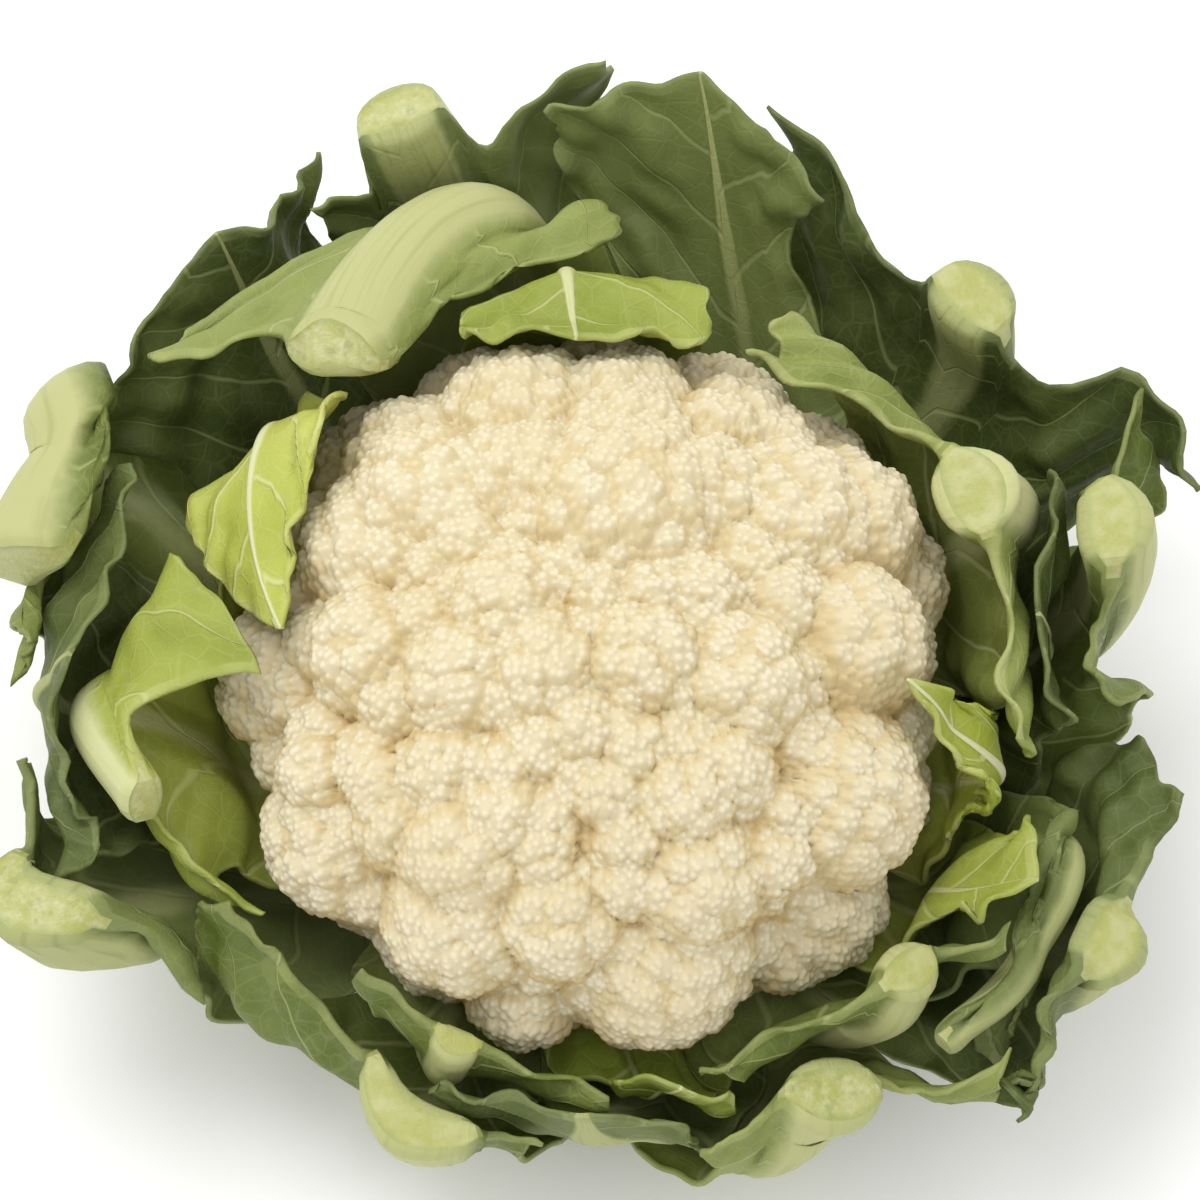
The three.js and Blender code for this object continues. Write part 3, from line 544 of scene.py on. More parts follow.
def make_curd():
    directions, reach, falls = grow_curd()
    points = GROWTH_MIDDLE + directions * reach[..., None]
    points[..., 2] = np.maximum(points[..., 2], STALK_HEIGHT + 2 * GAP)
    names = ["curd_back_right", "curd_back_left", "curd_front_left", "curd_front_right"]
    material = curd_material()
    for number, name in enumerate(names):
        piece = curd_quarter(name, points[number], falls[number])
        dress(piece, material, "curd")
        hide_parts("curd")
    return points.reshape(-1, 3)


# What lies inside a leaf


def map_place(points):
    arm = points - NEST_MIDDLE
    reach = np.linalg.norm(arm, axis=-1)
    tilt = np.degrees(np.arcsin(arm[..., 2] / reach))
    column = np.degrees(np.arctan2(arm[..., 1], arm[..., 0])) % 360 / MAP_STEP
    row = np.clip((tilt - LOWEST_TILT) / MAP_STEP, 0, MAP_TILTS - 1.001)
    return column, row, reach, arm


def raise_map(cells, points, margin=0):
    column, row, reach, _ = map_place(points.reshape(-1, 3))
    at = (np.round(row).astype(int), np.round(column).astype(int) % MAP_BEARINGS)
    np.maximum.at(cells, at, reach + margin)


def around(cells, size, pick):
    """Each cell becomes what pick makes of the cells within size of it."""
    padded = np.pad(cells, ((size, size), (0, 0)), mode="edge")
    steps = range(-size, size + 1)
    near = [np.roll(padded[size + r : size + r + MAP_TILTS], c, 1) for r in steps for c in steps]
    return pick(near, axis=0)


def map_value(cells, column, row):
    c, r = column.astype(int), row.astype(int)
    right, down = (c + 1) % MAP_BEARINGS, column - c
    low = cells[r, c] + (cells[r, right] - cells[r, c]) * down
    high = cells[r + 1, c] + (cells[r + 1, right] - cells[r + 1, c]) * down
    return low + (high - low) * (row - r)


# The leaves


def leaf_runs(leaf):
    """The places that a leaf's rib and the two edges of its blade run through."""
    tier = TIERS[leaf["tier"]]
    lean = tier["lean"] * math.sin(math.radians(leaf["end"][0]))
    towards = (leaf["shoulder"] or leaf["end"])[0]
    root = np.array([leaf["root"], LEAF_ROOT_RADIUS, tier["root"]])
    turned = leaf["root"] + (towards - leaf["root"]) * BELLY_TURN
    belly = np.array([turned, tier["belly"][0] + lean / 2, tier["belly"][1]])
    turned = leaf["root"] + (leaf["end"][0] - leaf["root"]) * SHOULDER_TURN
    usual = [turned, tier["shoulder"][0] + lean, tier["shoulder"][1]]
    shoulder = np.array(leaf["shoulder"] or usual)
    half_root = math.degrees(leaf["rib_width"][0] / 2 / LEAF_ROOT_RADIUS)
    runs = {"rib": [root, belly, shoulder, leaf["end"]]}
    for edge, side in (("ccw", 1), ("cw", -1)):
        top = np.array(leaf[edge])
        high = leaf[edge + "_high"] or shoulder + (top - shoulder) * EDGE_BY_SHOULDER
        low = belly + [side * BELLY_SPAN, -1, 1]
        runs[edge] = [root + [side * (half_root + ROOT_BLADE), 0, 0], low, high, top]
    return runs


def leaf_columns(wing):
    """For each column: its side, its share of the way to the edge, and its place on the rib."""
    out = np.arange(1, wing + 1) / wing
    across = np.sin(np.linspace(-math.pi / 2, math.pi / 2, RIB_COLUMNS))
    ones = np.ones(wing)
    side = np.concatenate([-ones, np.sign(np.round(across, 6)), ones])
    outs = np.concatenate([out[::-1], 0 * across, out])
    return side, outs, np.concatenate([-ones, across, ones])


def rib_point(leaf, runs, across, u):
    """A point on the rib, across its middle line."""
    here = place(*np.moveaxis(through(runs["rib"], u), -1, 0))
    before = through(runs["rib"], np.maximum(0, u - TANGENT_REACH))
    after = through(runs["rib"], np.minimum(1, u + TANGENT_REACH))
    along = unit(place(*np.moveaxis(after, -1, 0)) - place(*np.moveaxis(before, -1, 0)))
    sideways = unit(np.cross(along, unit(here - NEST_MIDDLE)))
    roll = np.radians(over_three(leaf["roll"], u))[..., None]
    sideways = sideways * np.cos(roll) + np.cross(along, sideways) * np.sin(roll)
    taper = 1 if leaf["cut"] else 1 - TIP_TAPER * smoothstep(u, *TIP_RUN)
    return here + sideways * (across * taper * over_three(leaf["rib_width"], u) / 2)[..., None]


def leaf_middle(leaf, runs, u, columns):
    """Points half way through the leaf's thickness, and how far along it each one is."""
    side, out, across = (np.broadcast_to(values, u.shape) for values in columns)
    blade = out > 0
    torn = TORN_SHARE * leaf["ragged"] * bayed(leaf, out / 2, side) * smoothstep(out, *TORN_RUN)
    short = np.where(blade, leaf["notch"] * (1 - out) + leaf["round"] * out**2 + torn, 0)
    along = u * (1 - short * smoothstep(u, *NOTCH_RUN))
    start = rib_point(leaf, runs, across, along)
    bearing = np.degrees(np.arctan2(start[..., 1], start[..., 0]))
    start = np.stack([bearing, np.hypot(start[..., 0], start[..., 1]), start[..., 2]], -1)
    left, right = through(runs["ccw"], along), through(runs["cw"], along)
    edge = np.where((side > 0)[..., None], left, right)
    start[..., 0] += 360 * np.round((edge[..., 0] - start[..., 0]) / 360)
    lobes = 0.5 - 0.5 * np.cos(math.tau * leaf["lobes"] * along + side)
    share = out * (1 - leaf["lobe"] * lobes * out * smoothstep(along, *LOBE_RUN))
    bitten = leaf["teeth"] * toothed(leaf, along, side) * out**5
    bitten = bitten + leaf["ragged"] * bayed(leaf, along, side) * out**3
    share *= 1 - bitten * smoothstep(along, *LOBE_RUN)
    at = start + (edge - start) * share[..., None]
    wave = leaf["wave"] * share**2 * smoothstep(along, *WAVE_RUN)
    at[..., 1] += wave * np.sin(math.tau * leaf["waves"] * along + 2 * side + leaf["end"][0])
    return place(*np.moveaxis(at, -1, 0)), along


def toothed(leaf, along, side):
    """The teeth along a blade's edge, from 0 at their tips to 1 between them."""
    drift = TEETH["drift"] * np.sin(math.tau * TEETH["beat"] * along + leaf["end"][0] + side)
    turn = TEETH["count"] * along + drift + TEETH["offset"] * side
    return (1 - np.abs(np.sin(math.pi * turn))) ** TEETH["bluntness"]


def bayed(leaf, along, side):
    """The uneven bays along a blade's edge, from about 0 at its capes to 1 between them."""
    beat = leaf["end"][0] + 3 * side
    waves = [size * np.sin(math.tau * count * along + count * beat) for count, size in BAYS]
    return 0.5 + sum(waves) / 3


def rib_steps(leaf, columns, u, from_rib):
    """How far the outer and the inner face stand off the middle of the leaf."""
    across = np.broadcast_to(columns[2], u.shape)
    blade = np.broadcast_to(columns[1], u.shape) > 0
    fillet = RIB_FILLET * np.exp(-from_rib / FILLET_LENGTH)
    arch = np.where(blade, fillet, np.maximum(np.sqrt(1 - across**2), RIB_FILLET))
    taper = 1 if leaf["cut"] else 1 - TIP_TAPER * smoothstep(u, *TIP_RUN)
    depth = over_three(leaf["rib_depth"], u) * arch * taper
    swell = RIB_SWELL * smoothstep(u, *SWELL_RUN)
    return BLADE / 2 + (1 - swell) * depth, BLADE / 2 + swell * depth


def settle(points, support, u, inner_step, outer_step):
    """Moves points out until they clear what lies inside, then along the table if too low."""
    column, row, reach, arm = map_place(points)
    least = map_value(support, column, row) + LEAF_CLEARANCE + inner_step
    wanted = np.maximum(reach, reach + (least - reach) * smoothstep(u, *DRAPE_RUN))
    points = NEST_MIDDLE + arm * (wanted / reach)[..., None]
    lowest = LOWEST_LEAF + outer_step
    flat = np.hypot(points[..., 0], points[..., 1])
    further = wanted**2 - (NEST_MIDDLE[2] - lowest) ** 2
    slid = np.sqrt(np.maximum(flat**2, further)) / flat
    low = points[..., 2] < lowest
    points[..., :2] *= np.where(low, slid, 1)[..., None]
    points[..., 2] = np.where(low, lowest, points[..., 2])
    return points


def smoothed(grid, passes):
    for _ in range(passes):
        padded = np.pad(grid, ((1, 1), (1, 1), (0, 0)), mode="reflect", reflect_type="odd")
        near = padded[:-2, 1:-1] + padded[2:, 1:-1] + padded[1:-1, :-2] + padded[1:-1, 2:]
        grid = grid / 2 + near / 8
    return grid


def grid_normals(grid):
    up = np.gradient(grid, axis=0)
    across = np.gradient(grid, axis=1)
    return unit(np.cross(across, up))


def distance_from_rib(grid, wing):
    """How far each point is from the rib, along its row, in millimetres."""
    steps = np.linalg.norm(np.diff(grid, axis=1), axis=-1)
    distance = np.zeros(grid.shape[:2])
    distance[:, wing + RIB_COLUMNS :] = np.cumsum(steps[:, wing + RIB_COLUMNS - 1 :], axis=1)
    distance[:, :wing] = np.cumsum(steps[:, :wing][:, ::-1], axis=1)[:, ::-1]
    return distance


def rounded_end(outer, inner):
    """The two faces with more rows past the leaf's end, that round off its edges there."""
    middle, half = (outer[-1] + inner[-1]) / 2, (outer[-1] - inner[-1]) / 2
    onward = unit(middle - (outer[-2] + inner[-2]) / 2)
    for further, thinner in END_ROUND:
        outer = np.vstack([outer, [middle + onward * further + half * (1 - thinner)]])
        inner = np.vstack([inner, [middle + onward * further - half * (1 - thinner)]])
    return outer, inner


def draped(leaf, cells, u, columns, grid, wing):
    """The leaf's grid settled over what lies inside it, and smoothed."""
    steps = rib_steps(leaf, columns, u, distance_from_rib(grid, wing))
    support = around(around(cells, 2, np.max), 1, np.mean)
    for _ in range(SETTLE_PASSES):
        grid = settle(grid, support, u, *reversed(steps))
    grid[0, :, :2] *= (LEAF_ROOT_RADIUS / np.hypot(grid[0, :, 0], grid[0, :, 1]))[:, None]
    return smoothed(grid, SMOOTH_PASSES)


def blade_relief(leaf, seed, grid, u, columns, from_rib, phase):
    """How far the quilting, the folds and the ruffled edge stand off the smooth leaf."""
    away = smoothstep(from_rib, *QUILT_FROM_RIB) * smoothstep(u, *QUILT_RUN)
    folds = sum(height * ripple(grid, size, seed + draw) for size, height, draw in FOLDS)
    near_edge = smoothstep(columns[1], *RUFFLE["run"]) * smoothstep(u, *WAVE_RUN)
    ruffle = RUFFLE["height"] * (0.5 + 0.5 * ripple(grid, RUFFLE["size"], seed + RUFFLE["draw"]))
    quilting = -QUILT * np.cos(math.tau * phase) * away
    return quilting + leaf["crumple"] * (away * folds + near_edge * ruffle)


def steady_normals(grid, columns, wing):
    """The normals of a grid, steady across the rib and level where the rib meets the stalk."""
    normals = grid_normals(grid)
    middle = normals[:, [wing + RIB_COLUMNS // 2]]
    on_rib = np.where(columns[1] > 0, 1, columns[2] ** 2)[None, :, None]
    normals = unit(middle + (normals - middle) * on_rib)
    outward = unit(grid[0] * [1, 1, 0])
    normals[0] = unit(normals[0] - outward * (normals[0] * outward).sum(-1, keepdims=True))
    return normals


def leaf_faces(leaf, cells, seed):
    """The outer and inner faces of a leaf as grids of points, and its values for the paint."""
    wing = leaf["wing"] * WINGS_FINER
    columns = leaf_columns(wing)
    rows = leaf["rows"] * ROWS_FINER
    u = np.broadcast_to(np.linspace(0, 1, rows + 1)[:, None], (rows + 1, len(columns[0])))
    grid, along = leaf_middle(leaf, leaf_runs(leaf), u, columns)
    grid = draped(leaf, cells, u, columns, grid, wing)
    from_rib = distance_from_rib(grid, wing)
    length = np.linalg.norm(np.diff(grid[:, wing + RIB_COLUMNS // 2], axis=0), axis=-1).sum()
    side = np.broadcast_to(columns[0], u.shape)
    half_width = over_three(leaf["rib_width"], u) / 2
    from_foot = np.where(columns[1] > 0, from_rib, (np.abs(columns[2]) - 1) * half_width)
    slanted = along * length - VEIN_SLANT * from_foot - VEIN_CURVE * from_rib**2
    phase = slanted / VEIN_SPACING + np.where(side > 0, 0.5, 0) + VEIN_SHIFT * seed
    relief = blade_relief(leaf, seed, grid, u, columns, from_rib, phase)
    grid = grid + grid_normals(grid) * relief[..., None]
    normals = steady_normals(grid, columns, wing)
    outer_step, inner_step = rib_steps(leaf, columns, u, from_rib)
    outer, inner = grid + normals * outer_step[..., None], grid - normals * inner_step[..., None]
    outer, inner = rounded_end(outer, inner)
    aside = np.where(columns[1] > 0, side * (from_rib + half_width), columns[2] * half_width)
    width = np.where(side > 0, from_rib[:, [-1]], from_rib[:, [0]])
    to_edge = np.minimum(width - from_rib, (1 - u) * length)
    values = {
        "vein_phase": phase,
        "from_rib": from_rib,
        "rib": np.broadcast_to(np.where(columns[1] > 0, 0, 1 - columns[2] ** 2), u.shape),
        "to_edge": to_edge,
        "along": along,
        "lay": np.stack([aside, along * length, 0 * along], -1),
    }
    ended = {
        name: np.concatenate([value, *[value[-1:]] * len(END_ROUND)])
        for name, value in values.items()
    }
    return outer, inner, ended


def add_attribute(mesh, name, values):
    kind = "FLOAT_VECTOR" if values.ndim > 1 else "FLOAT"
    attribute = mesh.attributes.new(name, kind, "POINT")
    attribute.data.foreach_set("vector" if values.ndim > 1 else "value", values.ravel())


def make_piece(name, shape):
    mesh = bpy.data.meshes.new(name)
    shape.to_mesh(mesh)
    shape.free()
    mesh.polygons.foreach_set("use_smooth", [True] * len(mesh.polygons))
    piece = bpy.data.objects.new(name, mesh)
    bpy.context.scene.collection.objects.link(piece)
    return piece


def dress(piece, material, slot):
    piece.data.materials.append(material)
    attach(piece, "root")


def leaf_shell(outer, inner, wing):
    """A closed shell between two grids of points, whose points keep their numbers and side."""
    rows, columns = outer.shape[:2]
    shell = bmesh.new()
    bmesh.ops.create_grid(shell, x_segments=columns - 1, y_segments=rows - 1, size=1)
    shell.verts.layers.int.new("number")
    outside = shell.verts.layers.float.new("outside")
    number = shell.verts.layers.int["number"]
    for k, vert in enumerate(shell.verts):
        vert[number] = k
    whole = shell.verts[:] + shell.edges[:] + shell.faces[:]
    drawn = bmesh.ops.extrude_face_region(shell, geom=whole, use_keep_orig=True)["geom"]
    outer_points, inner_points = outer.reshape(-1, 3) * MM, inner.reshape(-1, 3) * MM
    for vert in shell.verts:
        vert.co = inner_points[vert[number]]
    for vert in drawn:
        if isinstance(vert, bmesh.types.BMVert):
            vert.co = outer_points[vert[number]]
            vert[outside] = 1
    bmesh.ops.recalc_face_normals(shell, faces=shell.faces)
    last = (rows - 1) * columns
    for face in shell.faces:
        places = [vert[number] - last for vert in face.verts]
        if min(places) >= wing and max(places) < wing + RIB_COLUMNS:
            face.material_index = 1
            for edge in face.edges:
                edge.smooth = False
    return shell


def make_leaf(leaf, cells, materials, seed):
    outer, inner, values = leaf_faces(leaf, cells, seed)
    shell = leaf_shell(outer, inner, leaf["wing"] * WINGS_FINER)
    piece = make_piece(leaf["name"] + "_grown", shell)
    mesh = piece.data
    numbers = np.zeros(len(mesh.vertices), np.int32)
    mesh.attributes["number"].data.foreach_get("value", numbers)
    mesh.attributes.remove(mesh.attributes["number"])
    for name, value in values.items():
        add_attribute(mesh, name, value.reshape(outer[..., 0].size, -1).squeeze()[numbers])
    add_attribute(mesh, "tone", np.full(len(numbers), chance.uniform(0, 1)))
    dress(piece, materials[leaf["tint"]], leaf["tint"] + "_leaf")
    mesh.materials.append(materials["cut" if leaf["cut"] else leaf["tint"]])
    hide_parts(leaf["name"])
    raise_map(cells, outer)


def make_leaves(curd_points):
    cells = np.zeros((MAP_TILTS, MAP_BEARINGS))
    raise_map(cells, curd_points, CURD_CLEARANCE)
    materials = {tint: leaf_material(tint) for tint in LEAF_COLOURS}
    materials["cut"] = cut_material()
    for seed, given in enumerate(LEAVES):
        tier = TIERS[given["tier"]]
        usual = {"rib_width": tier["rib_width"], "rib_depth": tier["rib_depth"]}
        make_leaf({**LEAF_DEFAULTS, **usual, **given}, cells, materials, seed)


# Materials


def srgb(red, green, blue):
    """A colour given as 0 to 255 on a screen, in the linear values that a shader takes."""
    shares = [value / 255 for value in (red, green, blue)]
    lit = [s / 12.92 if s <= 0.04045 else ((s + 0.055) / 1.055) ** 2.4 for s in shares]
    return (*lit, 1)


class Socket:
    """A shader node's output, on which sums are written as Python expressions."""

    def __init__(self, tree, output):
        self.tree = tree
        self.output = output

    def sum(self, operation, *values, clamp=False):
        settings = {"operation": operation, "use_clamp": clamp}
        return node(self.tree, "ShaderNodeMath", settings, dict(enumerate(values)))

    def __add__(self, other):
        return self.sum("ADD", self, other)

    def __sub__(self, other):
        return self.sum("SUBTRACT", self, other)

    def __mul__(self, other):
        return self.sum("MULTIPLY", self, other)

    def __truediv__(self, other):
        return self.sum("DIVIDE", self, other)

    def __radd__(self, other):
        return self.sum("ADD", other, self)

    def __rsub__(self, other):
        return self.sum("SUBTRACT", other, self)

    def __rmul__(self, other):
        return self.sum("MULTIPLY", other, self)

    def __abs__(self):
        return self.sum("ABSOLUTE", self)

    def fraction(self):
        return self.sum("FRACT", self)

    def clamped(self):
        """Kept from 0 to 1."""
        return self.sum("ADD", self, 0, clamp=True)

    def larger(self, other):
        return self.sum("MAXIMUM", self, other)

    def step(self, low, high):
        """0 below low and 1 above high, or the other way round where low is the larger."""
        if low > high:
            return 1 - self.step(high, low)
        settings = {"interpolation_type": "SMOOTHSTEP"}
        inputs = {"Value": self, "From Min": low, "From Max": high}
        return node(self.tree, "ShaderNodeMapRange", settings, inputs)


def node(tree, kind, settings, inputs, output=0):
    """An output of a new node: its settings are set first, then the values or links it takes."""
    made = tree.nodes.new(kind)
    for name, value in settings.items():
        setattr(made, name, value)
    for name, value in inputs.items():
        if isinstance(value, Socket):
            tree.links.new(value.output, made.inputs[name])
        else:
            made.inputs[name].default_value = value
    return Socket(tree, made.outputs[output])


class Paint:
    """A material, with the few patterns that the finishes are made of."""

    def __init__(self, name, roughness):
        self.material = bpy.data.materials.new(name)
        self.material.use_nodes = True
        self.tree = self.material.node_tree
        self.shader = self.tree.nodes["Principled BSDF"]
        self.shader.inputs["Roughness"].default_value = roughness
        self.where = self.node("ShaderNodeTexCoord", {}, {}, "Object")

    def node(self, kind, settings, inputs, output=0):
        return node(self.tree, kind, settings, inputs, output)

    def attribute(self, name, output="Fac"):
        settings = {"attribute_name": name, "attribute_type": "GEOMETRY"}
        return self.node("ShaderNodeAttribute", settings, {}, output)

    def noise(self, size, detail=2.0, roughness=0.5):
        """Uneven patches of about that size in millimetres, from 0 to 1."""
        inputs = {"Vector": self.where, "Scale": 1000 / size, "Detail": detail}
        return self.node("ShaderNodeTexNoise", {}, {**inputs, "Roughness": roughness})

    def fibres(self, width, length):
        """Uneven streaks that run along a leaf, from 0 to 1, in millimetres."""
        settings = {"operation": "MULTIPLY"}
        vectors = {0: self.attribute("lay", "Vector"), 1: (1 / width, 1 / length, 1)}
        vector = self.node("ShaderNodeVectorMath", settings, vectors)
        inputs = {"Vector": vector, "Scale": 1.0, "Detail": 2.0}
        return self.node("ShaderNodeTexNoise", {}, inputs)

    def cell_edges(self, size):
        """How far a point is from the edges of a net with cells of that size."""
        settings = {"feature": "DISTANCE_TO_EDGE"}
        inputs = {"Vector": self.where, "Scale": 1000 / size}
        return self.node("ShaderNodeTexVoronoi", settings, inputs)

    def mix(self, share, first, second):
        settings = {"data_type": "RGBA"}
        return self.node("ShaderNodeMix", settings, {0: share, 6: first, 7: second}, 2)

    def finish(self, colour, roughness=None, bump=None, depth=0.5, strength=1.0):
        inputs = self.shader.inputs
        self.tree.links.new(colour.output, inputs["Base Color"])
        if roughness is not None:
            self.tree.links.new(roughness.output, inputs["Roughness"])
        if bump is not None:
            settings = {"Height": bump, "Distance": depth * MM, "Strength": strength}
            normal = self.node("ShaderNodeBump", {}, settings)
            self.tree.links.new(normal.output, inputs["Normal"])
        return self.material


# The curd's colours, from its fresh and creamy patches to the tan painted shade of its deepest
# creases
CURD_COLOURS = {
    "fresh": (220, 211, 184),
    "creamy": (215, 203, 172),
    # The last three colours are painted shade, darker the deeper the crease
    "painted shade among buds": (205, 190, 148),
    "painted shade among knobs": (204, 184, 136),
    "painted shade among florets": (194, 168, 114),
}
CURD_SKIN = {
    "Subsurface Weight": 0.25,
    "Subsurface Radius": (1.0, 0.9, 0.7),
    "Subsurface Scale": 1.2 * MM,
    "Specular IOR Level": 0.3,
}


def curd_material():
    """Cream, with tan painted shade in the creases between its florets, knobs and buds."""
    paint = Paint("curd", 0.62)
    for name, value in CURD_SKIN.items():
        paint.shader.inputs[name].default_value = value
    colours = {name: srgb(*colour) for name, colour in CURD_COLOURS.items()}
    falls = paint.attribute("fall", "Vector")
    floret, knob, bud = (
        paint.node("ShaderNodeSeparateXYZ", {}, {0: falls}, axis) for axis in range(3)
    )
    patches = paint.noise(26, 3).step(0.4, 0.7)
    colour = paint.mix(patches, colours["fresh"], colours["creamy"])
    # Painted shade: the creases among buds and knobs, and in patches among florets, are darkened
    # to tan
    colour = paint.mix(bud.step(0.3, 0.8) * 0.5, colour, colours["painted shade among buds"])
    colour = paint.mix(knob.step(0.62, 0.98) * 0.6, colour, colours["painted shade among knobs"])
    painted_crease_shade = (floret.step(0.7, 1.0) * paint.noise(14, 2).step(0.2, 0.6)).clamped()
    colour = paint.mix(painted_crease_shade * 0.75, colour, colours["painted shade among florets"])
    return paint.finish(colour, bump=paint.noise(0.7, 2), depth=0.12, strength=0.5)


# Colours of each leaf finish: the blade in its darker and lighter patches, the veins and the rib.
# The bloom is the waxy film on a blade, and its share is how strongly it shows.
LEAF_COLOURS = {
    "heart": [(146, 158, 50), (178, 184, 86), (204, 205, 144), (206, 206, 162)],
    "bright": [(108, 124, 36), (148, 158, 66), (184, 189, 122), (194, 197, 144)],
    "light": [(122, 134, 62), (164, 170, 100), (188, 191, 132), (190, 192, 138)],
    "mid": [(92, 106, 44), (134, 144, 76), (168, 173, 112), (176, 178, 122)],
    "dark": [(68, 80, 34), (108, 119, 64), (142, 151, 98), (164, 168, 112)],
}
LEAF_BLOOM = (120, 132, 92)
LEAF_BLOOM_SHARE = {"heart": 0.05, "bright": 0.08, "light": 0.12, "mid": 0.3, "dark": 0.3}
LEAF_ROUGHNESS = {"heart": 0.42, "bright": 0.4, "light": 0.45, "mid": 0.5, "dark": 0.52}
LEAF_SHINE = 0.25


VEIN_WIDTHS = (1.5, 0.4)
VEIN_REACH = 40
VEIN_WANDER = 0.35


def vein_pattern(paint, outside):
    """Slanting side veins that thin out from the rib, with a finer net between them."""
    phase = paint.attribute("vein_phase") + (paint.noise(17, 1) - 0.5) * VEIN_WANDER
    gap = abs(phase.fraction() - 0.5) * VEIN_SPACING
    thick, thin = VEIN_WIDTHS
    width = thick - (paint.attribute("from_rib") / VEIN_REACH).clamped() * (thick - thin)
    main = (1 - gap / width).clamped().step(0, 0.9)
    net = paint.cell_edges(6).step(0.07, 0.0)
    fine = paint.cell_edges(2.2).step(0.12, 0.0)
    veins = main.larger(net * 0.25).larger(fine * 0.12)
    return veins * (1 - paint.attribute("rib").step(0.0, 0.3) * outside)


def rib_pattern(paint, outside):
    """Where a leaf is rib: its whole arch outside, and a line inside that widens to the end."""
    arch = paint.attribute("rib") - paint.noise(6, 3) * 0.25
    near_end = paint.attribute("along").step(0.5, 0.95)
    inside = (arch + near_end * 0.5).step(0.62, 0.95) * (0.6 + near_end * 0.4)
    return arch.step(-0.12, 0.25) * outside + inside * (1 - outside)


def leaf_material(tint):
    """A leaf's finish: a patchy blade that pales to its root, pale veins, rib and rim."""
    paint = Paint(tint + "_leaf", LEAF_ROUGHNESS[tint])
    paint.shader.inputs["Specular IOR Level"].default_value = LEAF_SHINE
    dark, light, vein, rib = (srgb(*colour) for colour in LEAF_COLOURS[tint])
    outside = paint.attribute("outside")
    veins = vein_pattern(paint, outside)
    ribbed = rib_pattern(paint, outside)
    streaks = paint.fibres(1.6, 40)
    tone = paint.attribute("tone") * 0.5 + paint.noise(30, 3) * 0.9 - 0.2
    colour = paint.mix(tone.step(0.2, 0.8), dark, light)
    colour = paint.mix(paint.attribute("along").step(0.5, 0.15) * 0.7, colour, vein)
    bloom = paint.noise(11, 4, 0.65).step(0.46, 0.7) * paint.noise(40, 2).step(0.35, 0.6)
    colour = paint.mix(bloom * LEAF_BLOOM_SHARE[tint], colour, srgb(*LEAF_BLOOM))
    colour = paint.mix(veins * 0.6, colour, vein)
    colour = paint.mix(ribbed, colour, rib)
    colour = paint.mix(ribbed * streaks.step(0.5, 0.72) * 0.35, colour, light)
    rim = paint.attribute("to_edge").step(0.9, 0.2) * paint.noise(12, 2).step(0.3, 0.6)
    colour = paint.mix(rim * 0.4, colour, vein)
    roughness = paint.noise(9, 2) * 0.25 + LEAF_ROUGHNESS[tint] - 0.1
    height = veins * (outside * 1.6 - 0.6) + paint.noise(3.5, 3) * 0.5 + paint.noise(0.8, 2) * 0.12
    height = height + ribbed * streaks * 0.9
    return paint.finish(colour, roughness, height, 0.5, 0.7)


CUT_COLOURS = {
    "flesh": [(178, 180, 120), (164, 166, 88)],
    "fibres": (198, 199, 156),
    "spots": (136, 146, 84),
    "ring": (144, 154, 82),
}
STALK_COLOURS = {"flesh": [(214, 218, 164), (196, 203, 132)], "fibres": (236, 238, 206)}


def cut_material():
    """A cut rib's face: wet flesh, more mottled on some leaves, with a greener ring round it."""
    paint = Paint("cut_rib", 0.4)
    mottled = 0.25 + paint.attribute("tone").step(0.4, 0.6) * 0.75
    flesh = [srgb(*colour) for colour in CUT_COLOURS["flesh"]]
    colour = paint.mix(paint.noise(7, 3).step(0.35, 0.65), *flesh)
    fibres = paint.noise(2.6, 4, 0.7).step(0.42, 0.7)
    colour = paint.mix(fibres * mottled * 0.6, colour, srgb(*CUT_COLOURS["fibres"]))
    spots = paint.noise(3.2, 3).step(0.54, 0.7)
    colour = paint.mix(spots * mottled * 0.55, colour, srgb(*CUT_COLOURS["spots"]))
    ring = abs(paint.attribute("outside") - 0.5).step(0.3, 0.5)
    colour = paint.mix(ring * 0.65, colour, srgb(*CUT_COLOURS["ring"]))
    return paint.finish(colour, bump=paint.noise(1.6, 4, 0.65), depth=0.6, strength=0.7)


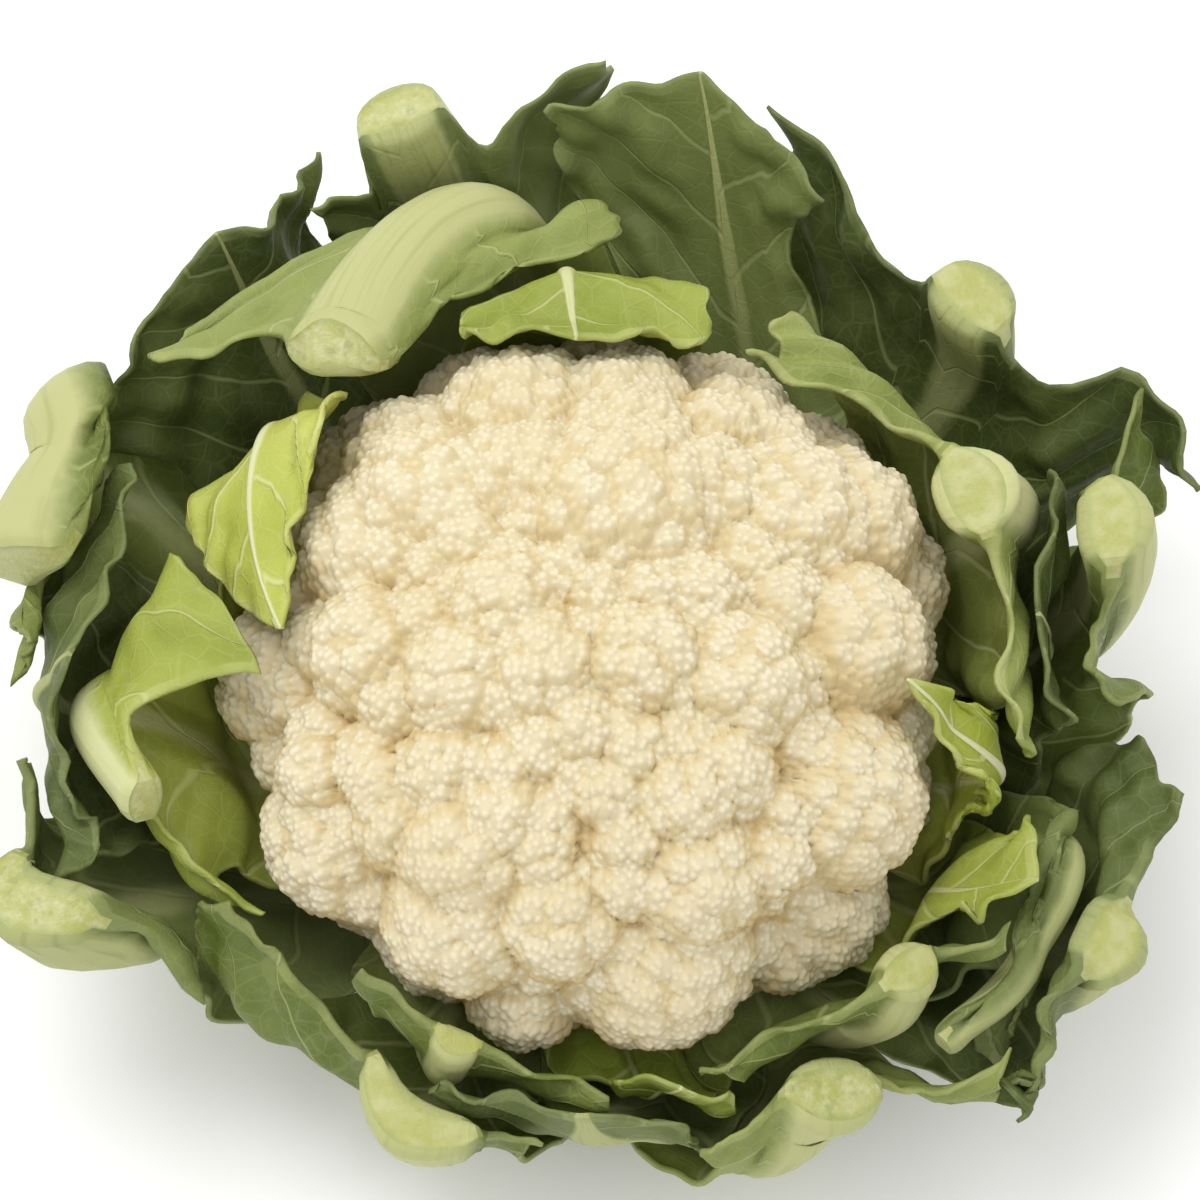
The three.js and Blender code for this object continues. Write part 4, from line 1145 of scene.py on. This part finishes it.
def stalk_material():
    """The stalk: pale flesh with a net of paler fibres."""
    paint = Paint("stalk", 0.5)
    flesh = [srgb(*colour) for colour in STALK_COLOURS["flesh"]]
    colour = paint.mix(paint.noise(9, 3).step(0.35, 0.65), *flesh)
    fibres = paint.cell_edges(2.0).step(0.16, 0.02)
    colour = paint.mix(fibres * 0.5, colour, srgb(*STALK_COLOURS["fibres"]))
    return paint.finish(colour, bump=paint.noise(2.2, 3) + fibres * 0.3, depth=0.5, strength=0.7)


# The stage and the light, in metres

FLOOR_REACH = 4
WORLD_LIGHT = 1.05
KEY_LIGHT = {"bearing": 135, "tilt": 66, "distance": 1.3, "size": 0.9, "power": 7.5}
KEY_COLOUR = (1.0, 0.99, 0.97)
LIT_POINT = Vector((0, 0, 0.07))


def make_floor():
    floor = bmesh.new()
    bmesh.ops.create_grid(floor, x_segments=1, y_segments=1, size=FLOOR_REACH)
    piece = make_piece("floor", floor)
    paint = Paint("floor", 0.8)
    shade = paint.mix(paint.noise(300, 2), srgb(246, 246, 246), srgb(250, 250, 250))
    piece.data.materials.append(paint.finish(shade))


def make_key_light():
    data = bpy.data.lights.new("key", "AREA")
    data.shape = "DISK"
    data.size = KEY_LIGHT["size"]
    data.energy = KEY_LIGHT["power"]
    data.color = KEY_COLOUR
    light = bpy.data.objects.new("key", data)
    bpy.context.scene.collection.objects.link(light)
    rise = math.radians(KEY_LIGHT["tilt"])
    way = Vector(place(KEY_LIGHT["bearing"], math.cos(rise), math.sin(rise)))
    light.location = way * KEY_LIGHT["distance"] + LIT_POINT
    light.rotation_euler = (-way).to_track_quat("-Z", "Y").to_euler()


def make_world():
    world = bpy.data.worlds.new("studio")
    world.use_nodes = True
    background = world.node_tree.nodes["Background"]
    background.inputs["Color"].default_value = (1, 1, 1, 1)
    background.inputs["Strength"].default_value = WORLD_LIGHT
    bpy.context.scene.world = world
    bpy.context.scene.view_settings.view_transform = "Standard"


make_camera()
curd_points = make_curd()
make_leaves(curd_points)
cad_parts["stalk"].data.materials.clear()
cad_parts["stalk"].data.materials.append(stalk_material())
make_floor()
make_world()
make_key_light()
